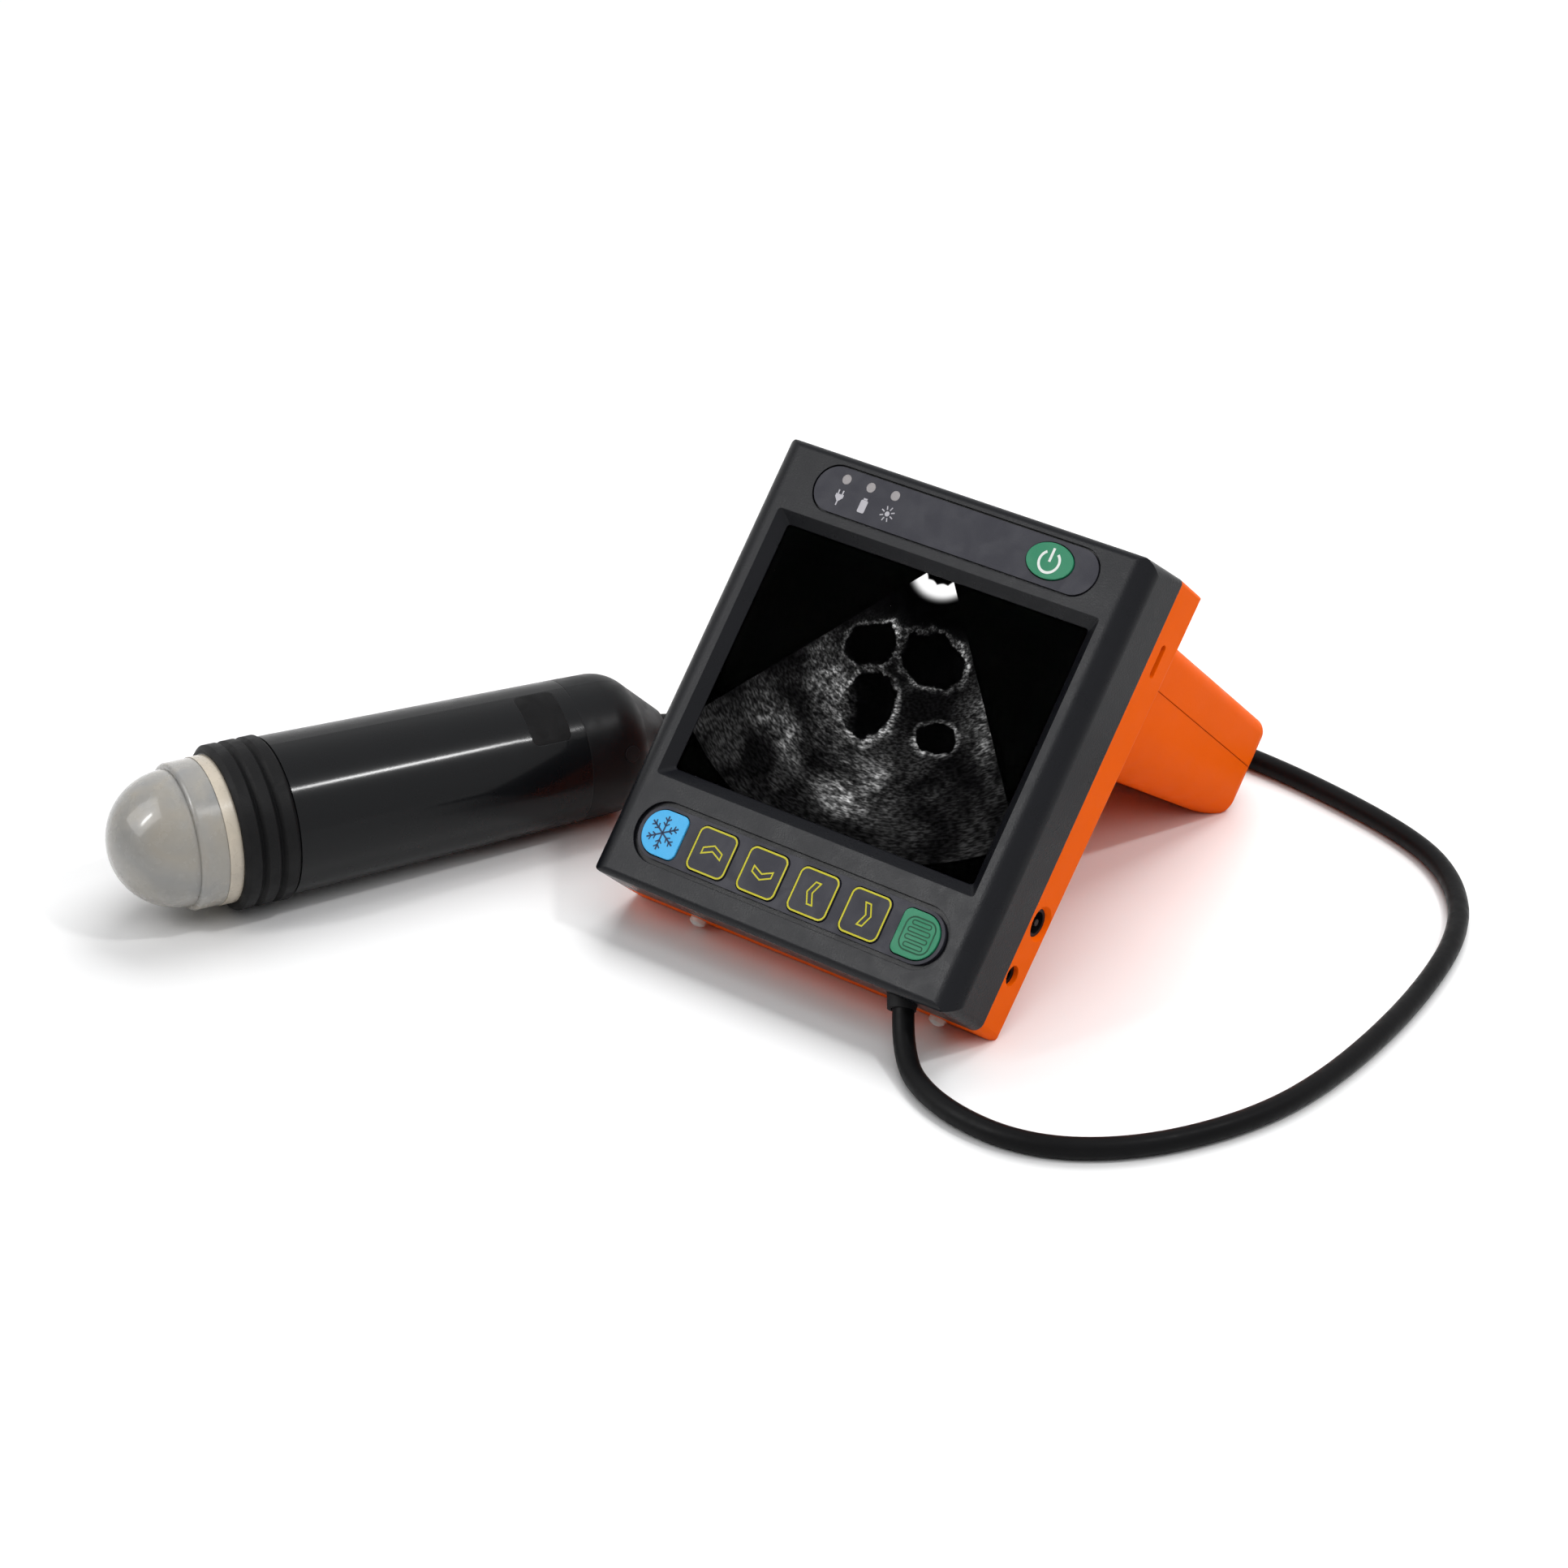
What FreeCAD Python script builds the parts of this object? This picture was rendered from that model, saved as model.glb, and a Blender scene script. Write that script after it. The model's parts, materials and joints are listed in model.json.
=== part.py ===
import FreeCAD, Part
import math
import os

from FreeCAD import Placement, Rotation, Vector

# Handheld veterinary ultrasound scanner: a leaning console and a mechanical sector probe on one cable.
# Millimetres. Frame: +X to the console's right, +Y backwards, +Z up, floor at Z = 0.
# Console coordinates: x to the right, y up the face from its bottom end, z out of the face from its back.
# Probe coordinates: x along the probe from the dome's tip, y sideways, z up.

# --- screen ---------------------------------------------------------------------------------------
VIEW_W = 100.8            # seen area of a 5 inch 4:3 display
VIEW_H = 75.2
BEVEL = 3.3
WINDOW_T = 1.2
WINDOW_LAP = 1.4
LCD_GAP = 0.5             # display module to the case's side walls
LCD_EDGE = 1.1            # border of the module above and below the seen area
LCD_T = 6.0
BRACKET_T = 1.0
BRACKET_LIP = 4.5
BRACKET_SIDE = 15.0
BRACKET_RAIL = 12.0
BRACKET_POST = 9.0        # bracket's posts, in from the module's ends
PILLAR_R = 2.0

# --- console case -------------------------------------------------------------------------------
SIDE_BAND = 8.5           # bezel beside the screen
LOWER_BAND = 31.3         # bezel below the screen, with the keys
UPPER_BAND = 20.8         # bezel above the screen, with the lights
CASE_W = VIEW_W + 2 * (BEVEL + SIDE_BAND)
CASE_H = VIEW_H + 2 * BEVEL + LOWER_BAND + UPPER_BAND
CASE_D = 30.2
SCREEN_Y = LOWER_BAND + BEVEL + VIEW_H / 2
SEAM_Z = 11.6             # parting plane between rear shell and front bezel
WALL = 2.5
FRONT_T = 3.0
REAR_T = 2.2
SHOULDER_R = 6.0          # round of the bezel's long sides
FRONT_DRAFT = 0.8         # bezel's sides and top lean in by this much from the seam to the face
EDGE_R = 2.0              # round of the bezel's top and bottom edges
CORNER_R = 3.0            # corners of the outline: bottom, top, and at the front
CORNER_TOP_R = 1.6
CORNER_FRONT_R = 4.2
CORNERS = [CORNER_R, CORNER_R, CORNER_TOP_R, CORNER_TOP_R]
REAR_DRAFT = 0.1
REAR_RISE = 3.0           # the back slopes outwards by this much up to the case's top end
REAR_EDGE_R = 1.6
FIT = 0.15                # gap between pieces that drop into each other
RUN = 0.05                # radial gap of a running shaft
LCD_W = CASE_W - 2 * (WALL + LCD_GAP)
LCD_H = VIEW_H + 2 * LCD_EDGE

# --- key rows -------------------------------------------------------------------------------------
KEYS = 6
KEY_W = 13.0
KEY_R = 2.2
KEY_END_R = 6.2
KEY_PROUD = 0.4
KEY_GAP = 0.3
KEY_TRAVEL = 0.5
KEYPAD_Y = 16.3
KEYPAD_INSET = 1.1        # key field's ends, in from the screen's bevel
KEYPAD_GROOVE = 1.4
KEYPAD_W = VIEW_W + 2 * (BEVEL - KEYPAD_INSET)
KEYPAD_H = KEY_W + 5.2
KEY_END_GAP = 2.85
KEY_PITCH = (KEYPAD_W - 2 * KEY_END_GAP - KEY_W) / (KEYS - 1)
OVERLAY_T = 1.2
STEM_R = 2.0
STEM_L = 0.5
SWITCH_W = 6.0
BOARD_T = 1.4
PANEL_X = 0.9
PANEL_DROP = 10.85        # light field's middle below the case's top end
PANEL_Y = CASE_H - PANEL_DROP
PANEL_INSET = 3.1         # light field's ends, in from the seen area
PANEL_W = VIEW_W - 2 * PANEL_INSET
PANEL_H = 14.4
PANEL_GROOVE = 0.5
POWER_INSET = 15.6
POWER_X = PANEL_X + PANEL_W / 2 - POWER_INSET
POWER_Y = PANEL_Y + 0.35
POWER_W = 14.6
POWER_H = 10.2
LED_INSET = 9.3
LED_X = PANEL_X - PANEL_W / 2 + LED_INSET
LED_Y = PANEL_Y + 3.55
LED_PITCH = 8.3
LED_R = 1.45

# --- sockets in the right-hand side -----------------------------------------------------------------
USB_DROP = 22.4
USB_Y = CASE_H - USB_DROP
USB_Z = 6.2
USB_W = 9.7
USB_H = 2.5
DC_Y = 33.8
DC_Z = 5.2
DC_HOLE_R = 4.0
DC_FUNNEL_R = 5.1
DC_BORE_R = 3.1
DC_PIN_R = 1.0
AV_Y = 17.8
AV_Z = 8.1
AV_HOLE_R = 2.9
AV_BORE_R = 1.8
AV_BORE_L = 14.0
JACK_L = 11.0
NOSE_SINK = 1.5           # sockets' faces below the case's side

# --- boards, screws and feet inside the case --------------------------------------------------------
MAIN_Z = 11.6
MAIN_SIDE = 11.2
MAIN_END = 6.0
MAIN_W = CASE_W - 2 * MAIN_SIDE
BOSS_SIDE = 6.7
BOSS_END = 7.0
BOSS_R = 3.2
SCREW_R = 1.2
SCREW_HEAD_R = 2.6
SCREW_HEAD_T = 2.2
SCREW_SINK = 2.8
SCREW_L = 15.0
FOOT_LEFT = 26.2
FOOT_RIGHT = 16.2
FOOT_Z = 6.4
FOOT_R = 2.3
FOOT_H = 2.2

# --- grip on the back, with the battery -------------------------------------------------------------
GRIP_DROP = 10.0          # lid's outside below the case's top end
LID_H = 14.3
GRIP_ROOT_H = 52.5        # height of the grip at the case, at the end of its flare and at its end
GRIP_NECK_H = 42.2
GRIP_END_H = 31.0
GRIP_TOP = CASE_H - GRIP_DROP
GRIP_SEAM = GRIP_TOP - LID_H
GRIP_LOW = GRIP_TOP - GRIP_ROOT_H
GRIP_FLARE = GRIP_TOP - GRIP_NECK_H
GRIP_LOW_END = GRIP_TOP - GRIP_END_H
GRIP_FLARE_L = 22.0
GRIP_L = 105.5
GRIP_BOW = 0.8
GRIP_SIDE = 13.7
GRIP_TAPER = 0.5
GRIP_W = CASE_W - 2 * GRIP_SIDE
GRIP_W_END = GRIP_W - 2 * GRIP_TAPER
GRIP_UNDER_R = 22.0       # round under the grip at the case and at its end
GRIP_UNDER_END_R = 9.0
GRIP_TOP_R = 4.5
GRIP_NOSE_R = 13.0
GRIP_END_R = 8.0          # upright corners of the end, then the round along its lower edge
GRIP_LOW_R = GRIP_END_R - 0.5
END_REACH = 24.0
END_ROOM = 0.05           # the end's rounding starts this far outside the grip's faces
LID_GAP = 0.25
LID_WALL = 2.4
LID_END_WALL = 6.0
BAY_SIDE = 9.0
BAY_FLOOR_T = 2.2
BAY_FRONT = 14.0
BAY_END = 8.4
BAY_W = GRIP_W_END - 2 * BAY_SIDE
BAY_FLOOR = GRIP_LOW_END + BAY_FLOOR_T
BAY_L = GRIP_L - BAY_FRONT - BAY_END
BATTERY_W = 56.0
BATTERY_T = 19.0
BATTERY_L = 69.0
CONTACT_X = 9.0
LIP_H = 4.0
LIP_T = 1.2
LIP_L = 50.0

# --- cable ------------------------------------------------------------------------------------------
CABLE_R = 3.0
GLAND_SIDE = 20.8
GLAND_X = CASE_W / 2 - GLAND_SIDE
GLAND_Z = 20.2
GLAND_TILT = 20.0         # the rubber boot leans sideways with the cable's pull
GLAND_R = 4.7
GLAND_TIP_R = 3.9
GLAND_L = 3.0
NECK_R = 4.0
FLANGE_T = 1.5
CABLE_INSIDE = 10.0       # cable inside the console, from the bottom face
PLUG_LOW = 8.0            # cable's plug on the main board
PLUG_HIGH = 19.0
PLUG_W = 12.0

# --- probe ------------------------------------------------------------------------------------------
PROBE_TIP = (-164.9, -103.8)   # dome's tip, from the middle of the console's standing edge
PROBE_YAW = 64.93
DOME_R = 19.5
DOME_WALL = 1.5
DOME_BASE_R = 21.0
DOME_END = 27.5
RING_R = 21.2
RING_L = 4.0
SPIGOT_R = 20.2
SPIGOT_L = 12.5
COLLAR_L = 16.5
COLLAR_R = 23.6
COLLAR_GROOVE = 1.3
RIB_EDGE = 1.2            # half width of the grooves between the ribs
NECK_OUT_R = 21.5
BODY_R = 22.8
BODY_END_R = 20.9
BODY_END = 138.0
BODY_BORE_R = 19.0
CAP_L = 30.5
CAP_SHOULDER_L = 10.0
CAP_TIP_R = 6.5
CAP_WALL = 2.6
TAIL_BOOT_R = 4.8
TAIL_BOOT_L = 7.0
LABEL_X = BODY_END - 10.5
LABEL_L = 12.0
LABEL_W = 17.5
LABEL_T = 0.5
LABEL_TURN = 26.0
FILL_X = BODY_END + 13.0
FILL_R = 2.4
FILL_TURN = 73.0
SEAL_R = 0.65
SEAL_X = 36.0

# --- probe's drive ------------------------------------------------------------------------------------
GEAR_MODULE = 0.75
PINION_TEETH = 12
GEAR_TEETH = 36
GEAR_T = 3.0
GEAR_Y = 7.0
SWING = 40.0
GEAR_SECTOR = SWING + 18.0
BACKLASH = 0.12
PIN_R = 1.0
HUB_R = 3.5
HUB_W = 23.0
HOLDER_R = 6.5
HOLDER_FRONT = 13.4
CRYSTAL_R = 5.6
CRYSTAL_T = 1.6
MOTOR_R = 7.5
MOTOR_L = 18.0
SHAFT_R = 0.8
MOTOR_SCREW_R = 0.9
MOTOR_SCREW_L = 5.0
MOTOR_SCREW_Z = 2.2
ARM_Y = 12.0
ARM_T = 2.5
ARM_W = 8.0
DISC_X = 48.5
DISC_T = 3.0
PCB_L = 66.0
PCB_CHIP = 9.0
PCB_T = 1.6

# --- cable's route on the floor, in the part's frame ----------------------------------------------------
ORIGIN = (57.0, -27.04)   # middle of the console's standing edge in the part's frame
CABLE_ROUTE = [
    (126.0, -65.5, 3.0), (155.0, -66.5, 3.0), (179.0, -49.5, 3.0), (196.0, -19.5, 3.0), (201.5, 12.0, 3.0),
    (200.0, 55.5, 3.0), (192.0, 94.0, 3.0), (176.0, 117.0, 3.0), (154.5, 129.5, 3.0), (112.0, 138.5, 3.0),
    (76.0, 140.5, 3.0), (44.0, 139.5, 3.0), (15.0, 132.0, 3.0), (-8.0, 114.0, 3.0), (-20.0, 86.0, 4.5),
]


# --- shapes -----------------------------------------------------------------------------------------
PLANES = {
    "xy": (lambda a, b, c: Vector(a, b, c)),
    "xz": (lambda a, b, c: Vector(a, c, b)),
    "yz": (lambda a, b, c: Vector(c, a, b)),
}


def rounded_wire(points, radii, plane, level):
    """Closed outline with each corner rounded by its own radius (0 keeps it sharp)."""
    to3d = PLANES[plane]
    starts, ends, middles = [], [], []
    count = len(points)
    for i in range(count):
        corner = Vector(points[i][0], points[i][1], 0)
        before = Vector(points[i - 1][0], points[i - 1][1], 0) - corner
        after = Vector(points[(i + 1) % count][0], points[(i + 1) % count][1], 0) - corner
        before.normalize()
        after.normalize()
        half = before.getAngle(after) / 2
        reach = radii[i] / math.tan(half)
        bisector = before + after
        starts.append(corner + before * reach)
        ends.append(corner + after * reach)
        if radii[i] > 0:
            bisector.normalize()
            middles.append(corner + bisector * (radii[i] / math.sin(half) - radii[i]))
        else:
            middles.append(corner)
    edges = []
    for i in range(count):
        first = to3d(starts[i].x, starts[i].y, level)
        last = to3d(ends[i].x, ends[i].y, level)
        following = starts[(i + 1) % count]
        if radii[i] > 0:
            middle = to3d(middles[i].x, middles[i].y, level)
            edges.append(Part.Arc(first, middle, last).toShape())
        target = to3d(following.x, following.y, level)
        if last.distanceToPoint(target) > 1e-6:
            edges.append(Part.LineSegment(last, target).toShape())
    return Part.Wire(edges)


def prism(points, radii, plane, level, depth):
    face = Part.Face(rounded_wire(points, radii, plane, level))
    return face.extrude(PLANES[plane](0, 0, depth))


def rectangle(width, height, x=0.0, y=0.0):
    return [(x - width / 2, y - height / 2), (x + width / 2, y - height / 2),
            (x + width / 2, y + height / 2), (x - width / 2, y + height / 2)]


def plate(width, height, radius, low, high, x=0.0, y=0.0):
    radii = radius if isinstance(radius, (list, tuple)) else [radius] * 4
    return prism(rectangle(width, height, x, y), radii, "xy", low, high - low)


def box(x, y, z):
    """Box between pairs of limits."""
    return Part.makeBox(x[1] - x[0], y[1] - y[0], z[1] - z[0], Vector(x[0], y[0], z[0]))


def post(radius, x, y, low, high):
    return Part.makeCylinder(radius, high - low, Vector(x, y, low), Vector(0, 0, 1))


def rod(radius, start, direction, length):
    return Part.makeCylinder(radius, length, Vector(*start), Vector(*direction))


def ellipse(width, height, x, y, low, high):
    curve = Part.Ellipse(Vector(x, y, low), width / 2, height / 2)
    return Part.Face(Part.Wire(curve.toShape())).extrude(Vector(0, 0, high - low))


def turned(profile):
    """Solid of revolution about the probe's axis from (x, radius) points."""
    wire = Part.makePolygon([Vector(x, 0, r) for x, r in profile + profile[:1]])
    return Part.Face(wire).revolve(Vector(0, 0, 0), Vector(1, 0, 0), 360)


def ring(x0, x1, inner, outer):
    return turned([(x0, inner), (x1, inner), (x1, outer), (x0, outer)])


def mirrored(x, y_values):
    return [(side * x, y) for side in (-1, 1) for y in y_values]


# --- placing console and probe on the floor -------------------------------------------------------------
def lean_angle():
    """Lean at which the rounded rear edge and the rounded nose of the grip both touch the floor."""
    slope = (GRIP_LOW_END - GRIP_FLARE) / (GRIP_L - GRIP_FLARE_L)
    nose = GRIP_LOW_END - slope * GRIP_NOSE_R + GRIP_NOSE_R * math.hypot(1, slope)
    up = nose - REAR_EDGE_R
    back = GRIP_L - GRIP_NOSE_R + REAR_EDGE_R
    return math.atan2(back, up) + math.asin((GRIP_NOSE_R - REAR_EDGE_R) / math.hypot(up, back))


def console_placement():
    lean = lean_angle()
    lift = REAR_EDGE_R * (1 - math.sin(lean) - math.cos(lean))
    return Placement(Vector(ORIGIN[0], ORIGIN[1], lift), Rotation(Vector(1, 0, 0), math.degrees(lean)))


def collar_front():
    return DOME_END + RING_L


def collar_end():
    return collar_front() + COLLAR_L


def probe_placement():
    """The probe lies on the last rib of its collar and on the rear end of its body."""
    front = collar_end() - RIB_EDGE
    slope = math.asin((COLLAR_R - BODY_END_R) / (BODY_END - front))
    height = COLLAR_R / math.cos(slope) + front * math.sin(slope)
    turn = Rotation(Vector(0, 0, 1), PROBE_YAW).multiply(Rotation(Vector(0, 1, 0), math.degrees(slope)))
    return Placement(Vector(ORIGIN[0] + PROBE_TIP[0], ORIGIN[1] + PROBE_TIP[1], height), turn)


# --- levels shared by the console's pieces ----------------------------------------------------------------
def face_back():
    return CASE_D - FRONT_T


def board_front():
    """Front of the key boards: a pressed key stops just short of its switch."""
    return face_back() - PILLAR_R


def key_bottom():
    return face_back() + 0.4


def lcd_front():
    return face_back() - WINDOW_T


def bracket_back():
    return lcd_front() - LCD_T - BRACKET_T


def bracket_posts():
    reach = LCD_H / 2 + PILLAR_R + 2 * FIT
    return mirrored(LCD_W / 2 - BRACKET_POST, (SCREEN_Y - reach, SCREEN_Y + reach))


def bosses():
    return mirrored(CASE_W / 2 - BOSS_SIDE, (BOSS_END, CASE_H - BOSS_END))


def key_centres():
    return [(i - (KEYS - 1) / 2) * KEY_PITCH for i in range(KEYS)]


def key_radii(index):
    """Corners of a key: the outermost keys follow the round ends of the key field."""
    left = KEY_END_R if index == 0 else KEY_R
    right = KEY_END_R if index == KEYS - 1 else KEY_R
    return [left, right, right, left]


def key_holes(gap):
    """Clear openings for the six keys, the power key and the three status lights."""
    low, high = face_back() - 1, CASE_D + 1
    size = KEY_W + 2 * gap
    cutters = [plate(size, size, [r + gap for r in key_radii(i)], low, high, x, KEYPAD_Y)
               for i, x in enumerate(key_centres())]
    cutters.append(ellipse(POWER_W + 2 * gap, POWER_H + 2 * gap, POWER_X, POWER_Y, low, high))
    cutters += [post(LED_R, LED_X + i * LED_PITCH, LED_Y, low, high) for i in range(3)]
    return cutters


def board_posts():
    lower = [(i * KEY_PITCH, KEYPAD_Y) for i in (-2, 0, 2)]
    return lower + [(-12.0, PANEL_Y), (12.0, PANEL_Y)]


# --- console pieces -----------------------------------------------------------------------------------------
def front_bezel():
    half, deep = CASE_W / 2, CASE_D - SEAM_Z
    face_half, face_top = half - FRONT_DRAFT, CASE_H - FRONT_DRAFT
    across = prism([(-half, SEAM_Z), (half, SEAM_Z), (face_half, CASE_D), (-face_half, CASE_D)],
                   [0, 0, SHOULDER_R, SHOULDER_R], "xz", 0, CASE_H)
    along = prism([(0, SEAM_Z), (CASE_H, SEAM_Z), (face_top, CASE_D), (0, CASE_D)],
                  [0, 0, EDGE_R, EDGE_R], "yz", -half, CASE_W)
    seam = rectangle(CASE_W, CASE_H, 0, CASE_H / 2)
    face = rectangle(2 * face_half, face_top, 0, face_top / 2)
    outline = Part.makeLoft([rounded_wire(seam, CORNERS, "xy", SEAM_Z),
                             rounded_wire(face, [CORNER_FRONT_R] * 4, "xy", CASE_D)], True, True)
    solid = across.common(along).common(outline)
    solid = solid.cut(box((-half + WALL, half - WALL), (WALL, CASE_H - WALL), (SEAM_Z - 1, face_back())))
    solid = solid.cut(screen_opening())
    groove = CASE_D - OVERLAY_T
    solid = solid.cut(plate(KEYPAD_W, KEYPAD_H, KEYPAD_H / 2 - 0.01, groove, CASE_D + 1, 0, KEYPAD_Y))
    solid = solid.cut(plate(PANEL_W, PANEL_H, PANEL_H / 2 - 0.01, groove, CASE_D + 1, PANEL_X, PANEL_Y))
    pillars = [post(PILLAR_R, x, y, bracket_back() + BRACKET_T, face_back()) for x, y in bracket_posts()]
    pillars += [post(BOSS_R, x, y, SEAM_Z, face_back()) for x, y in bosses()]
    pillars += [post(PILLAR_R - 0.5, x, y, board_front(), face_back()) for x, y in board_posts()]
    solid = solid.fuse(pillars)
    cutters = key_holes(KEY_GAP)
    cutters += [post(SCREW_R, x, y, SEAM_Z - 1, SEAM_Z + deep / 2) for x, y in bosses()]
    cutters += [post(SCREW_R - 0.2, x, y, bracket_back(), bracket_back() + 6) for x, y in bracket_posts()]
    cutters.append(gland_rod(NECK_R, -WALL * 2, WALL * 4))
    return solid.cut(cutters)


def screen_opening():
    """Window of the bezel with bevelled walls that narrow towards the display."""
    outer = rectangle(VIEW_W + 2 * BEVEL, VIEW_H + 2 * BEVEL, 0, SCREEN_Y)
    inner = rectangle(VIEW_W, VIEW_H, 0, SCREEN_Y)
    return Part.makeLoft([rounded_wire(inner, [1.0] * 4, "xy", face_back()),
                          rounded_wire(outer, [1.0] * 4, "xy", CASE_D)], True, True)


def back_level(y):
    """Outside of the case's sloping back at a height y."""
    return -REAR_RISE * y / CASE_H


def behind(low, high, shift=0.0):
    """Everything behind the case's sloping back, between two heights."""
    points = [(low, back_level(low) + shift), (high, back_level(high) + shift),
              (high, -2 * GRIP_L), (low, -2 * GRIP_L)]
    return prism(points, [0] * 4, "yz", -CASE_W, 2 * CASE_W)


def grip_section(low, distance):
    """Section at a distance from the case's back: the grip narrows, and its under-corners get tighter."""
    share = max(0.0, distance) / GRIP_L
    side = GRIP_W / 2 - GRIP_TAPER * share
    under = GRIP_UNDER_R + (GRIP_UNDER_END_R - GRIP_UNDER_R) * share
    points = [(-side, low), (side, low), (side, GRIP_TOP), (-side, GRIP_TOP)]
    return rounded_wire(points, [under, under, GRIP_TOP_R, GRIP_TOP_R], "xy", -distance)


def grip_block():
    """Whole outside of the grip, from the case's back to its bowed end."""
    step = (GRIP_FLARE - GRIP_LOW) * 0.6
    flare = Part.makeLoft([grip_section(GRIP_LOW, -REAR_T / 2), grip_section(GRIP_LOW + step, 8.0),
                           grip_section(GRIP_FLARE, GRIP_FLARE_L)], True, False)
    shank = Part.makeLoft([grip_section(GRIP_FLARE, GRIP_FLARE_L),
                           grip_section(GRIP_LOW_END, GRIP_L)], True, True)
    low = GRIP_LOW - 5
    side = prism([(low, REAR_T), (GRIP_TOP, REAR_T), (GRIP_TOP, -GRIP_L), (GRIP_LOW_END, -GRIP_L),
                  (GRIP_FLARE, -GRIP_FLARE_L), (low, -GRIP_FLARE_L)],
                 [0, 0, 0, GRIP_NOSE_R, 0, 0], "yz", -GRIP_W, 2 * GRIP_W)
    return flare.fuse(shank).common(side).common(grip_end())


def end_outline():
    """Outline of the grip's end seen from above its lid: a bowed wall, round corners, straight sides."""
    half = GRIP_W_END / 2 + END_ROOM
    bow_r = (half ** 2 + GRIP_BOW ** 2) / (2 * GRIP_BOW)
    corner_x = half - GRIP_END_R
    turn = math.asin(corner_x / (bow_r - GRIP_END_R))
    corner_z = bow_r - GRIP_L - (bow_r - GRIP_END_R) * math.cos(turn)
    meet_x, meet_z = bow_r * math.sin(turn), bow_r - GRIP_L - bow_r * math.cos(turn)
    middle = (turn + math.pi / 2) / 2
    round_x, round_z = corner_x + GRIP_END_R * math.sin(middle), corner_z - GRIP_END_R * math.cos(middle)
    far_x, far_z = half + GRIP_TAPER * END_REACH / GRIP_L, corner_z + END_REACH
    bow = Part.Arc(Vector(meet_x, 0, meet_z), Vector(0, 0, -GRIP_L), Vector(-meet_x, 0, meet_z))
    edges = [bow.toShape(), Part.LineSegment(Vector(far_x, 0, far_z), Vector(-far_x, 0, far_z)).toShape()]
    for s in (1, -1):
        start, meet = Vector(s * half, 0, corner_z), Vector(s * meet_x, 0, meet_z)
        edges.append(Part.Arc(start, Vector(s * round_x, 0, round_z), meet).toShape())
        edges.append(Part.LineSegment(start, Vector(s * far_x, 0, far_z)).toShape())
    return Part.Face(Part.Wire(Part.__sortEdges__(edges)))


def grip_end():
    """What the rounded end leaves of the grip; it stays clear of the top, the sides and the underside."""
    top, low = GRIP_TOP + END_ROOM, GRIP_LOW - 5
    block = end_outline().extrude(Vector(0, top - low, 0))
    block.translate(Vector(0, low, 0))
    slope = (GRIP_LOW_END - GRIP_FLARE) / (GRIP_L - GRIP_FLARE_L)
    under = [(GRIP_LOW_END - END_ROOM - slope * z, z - GRIP_L) for z in (-END_REACH, 2 * END_REACH)]
    under += [(low - END_REACH, 2 * END_REACH - GRIP_L), (low - END_REACH, -END_REACH - GRIP_L)]
    block = block.cut(prism(under, [0] * 4, "yz", -GRIP_W, 2 * GRIP_W))
    far = block.BoundBox.ZMax - 0.01
    ends = [edge for edge in block.Edges if edge.BoundBox.ZMin < far]
    block = block.makeFillet(GRIP_TOP_R, [edge for edge in ends if edge.BoundBox.YMin > top - 0.01])
    ends = [edge for edge in block.Edges if edge.BoundBox.ZMin < far]
    block = block.makeFillet(GRIP_LOW_R, [edge for edge in ends if edge.BoundBox.YMax < GRIP_SEAM])
    return block.fuse(box((-GRIP_W, GRIP_W), (low - 1, top + 1), (END_REACH - GRIP_L, REAR_T)))


def rear_shell():
    half = CASE_W / 2
    points = [(-half + REAR_DRAFT, 0), (half - REAR_DRAFT, 0), (half, SEAM_Z), (half, 2 * SEAM_Z),
              (-half, 2 * SEAM_Z), (-half, SEAM_Z)]
    across = prism(points, [REAR_EDGE_R, REAR_EDGE_R, 0, 0, 0, 0], "xz", -1, CASE_H + 2)
    across.rotate(Vector(0, 0, 0), Vector(1, 0, 0), -math.degrees(math.atan2(REAR_RISE, CASE_H)))
    top = CASE_H - REAR_DRAFT
    along = prism([(0, 0), (top, back_level(top)), (CASE_H, SEAM_Z), (0, SEAM_Z)],
                  [REAR_EDGE_R, REAR_EDGE_R, 0, 0], "yz", -half, CASE_W)
    outline = plate(CASE_W, CASE_H, CORNERS, -REAR_RISE - 1, SEAM_Z, 0, CASE_H / 2)
    solid = across.common(along).common(outline)
    solid = solid.fuse(grip_block().common(behind(0, GRIP_SEAM, REAR_T / 2)))
    low, high = WALL, CASE_H - WALL
    inside = [(low, back_level(low) + REAR_T), (high, back_level(high) + REAR_T),
              (high, SEAM_Z + 1), (low, SEAM_Z + 1)]
    solid = solid.cut(prism(inside, [0] * 4, "yz", -half + WALL, CASE_W - 2 * WALL))
    posts = [post(BOSS_R, x, y, back_level(y) + 1, SEAM_Z) for x, y in bosses()]
    posts += [post(PILLAR_R + 0.5, x, y, back_level(y) + 1, MAIN_Z) for x, y in main_posts()]
    solid = solid.fuse(posts)
    cutters = [battery_bay(), wiring_space()]
    cutters += [post(SCREW_R + 0.4, x, y, back_level(y) - 1, SEAM_Z + 1) for x, y in bosses()]
    cutters += [post(SCREW_HEAD_R + FIT, x, y, back_level(y) - 1, back_level(y) + SCREW_SINK)
                for x, y in bosses()]
    cutters.append(rod(DC_HOLE_R, (0, DC_Y, DC_Z), (1, 0, 0), CASE_W))
    cutters.append(rod(AV_HOLE_R, (0, AV_Y, AV_Z), (1, 0, 0), CASE_W))
    cutters.append(Part.makeCone(DC_HOLE_R, DC_FUNNEL_R, NOSE_SINK, Vector(half - NOSE_SINK, DC_Y, DC_Z),
                                 Vector(1, 0, 0)))
    slot = rectangle(USB_W, USB_H, USB_Y, USB_Z)
    cutters.append(prism(slot, [USB_H / 2 - 0.01] * 4, "yz", half - 2 * WALL, 3 * WALL))
    return solid.cut(cutters)


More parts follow.
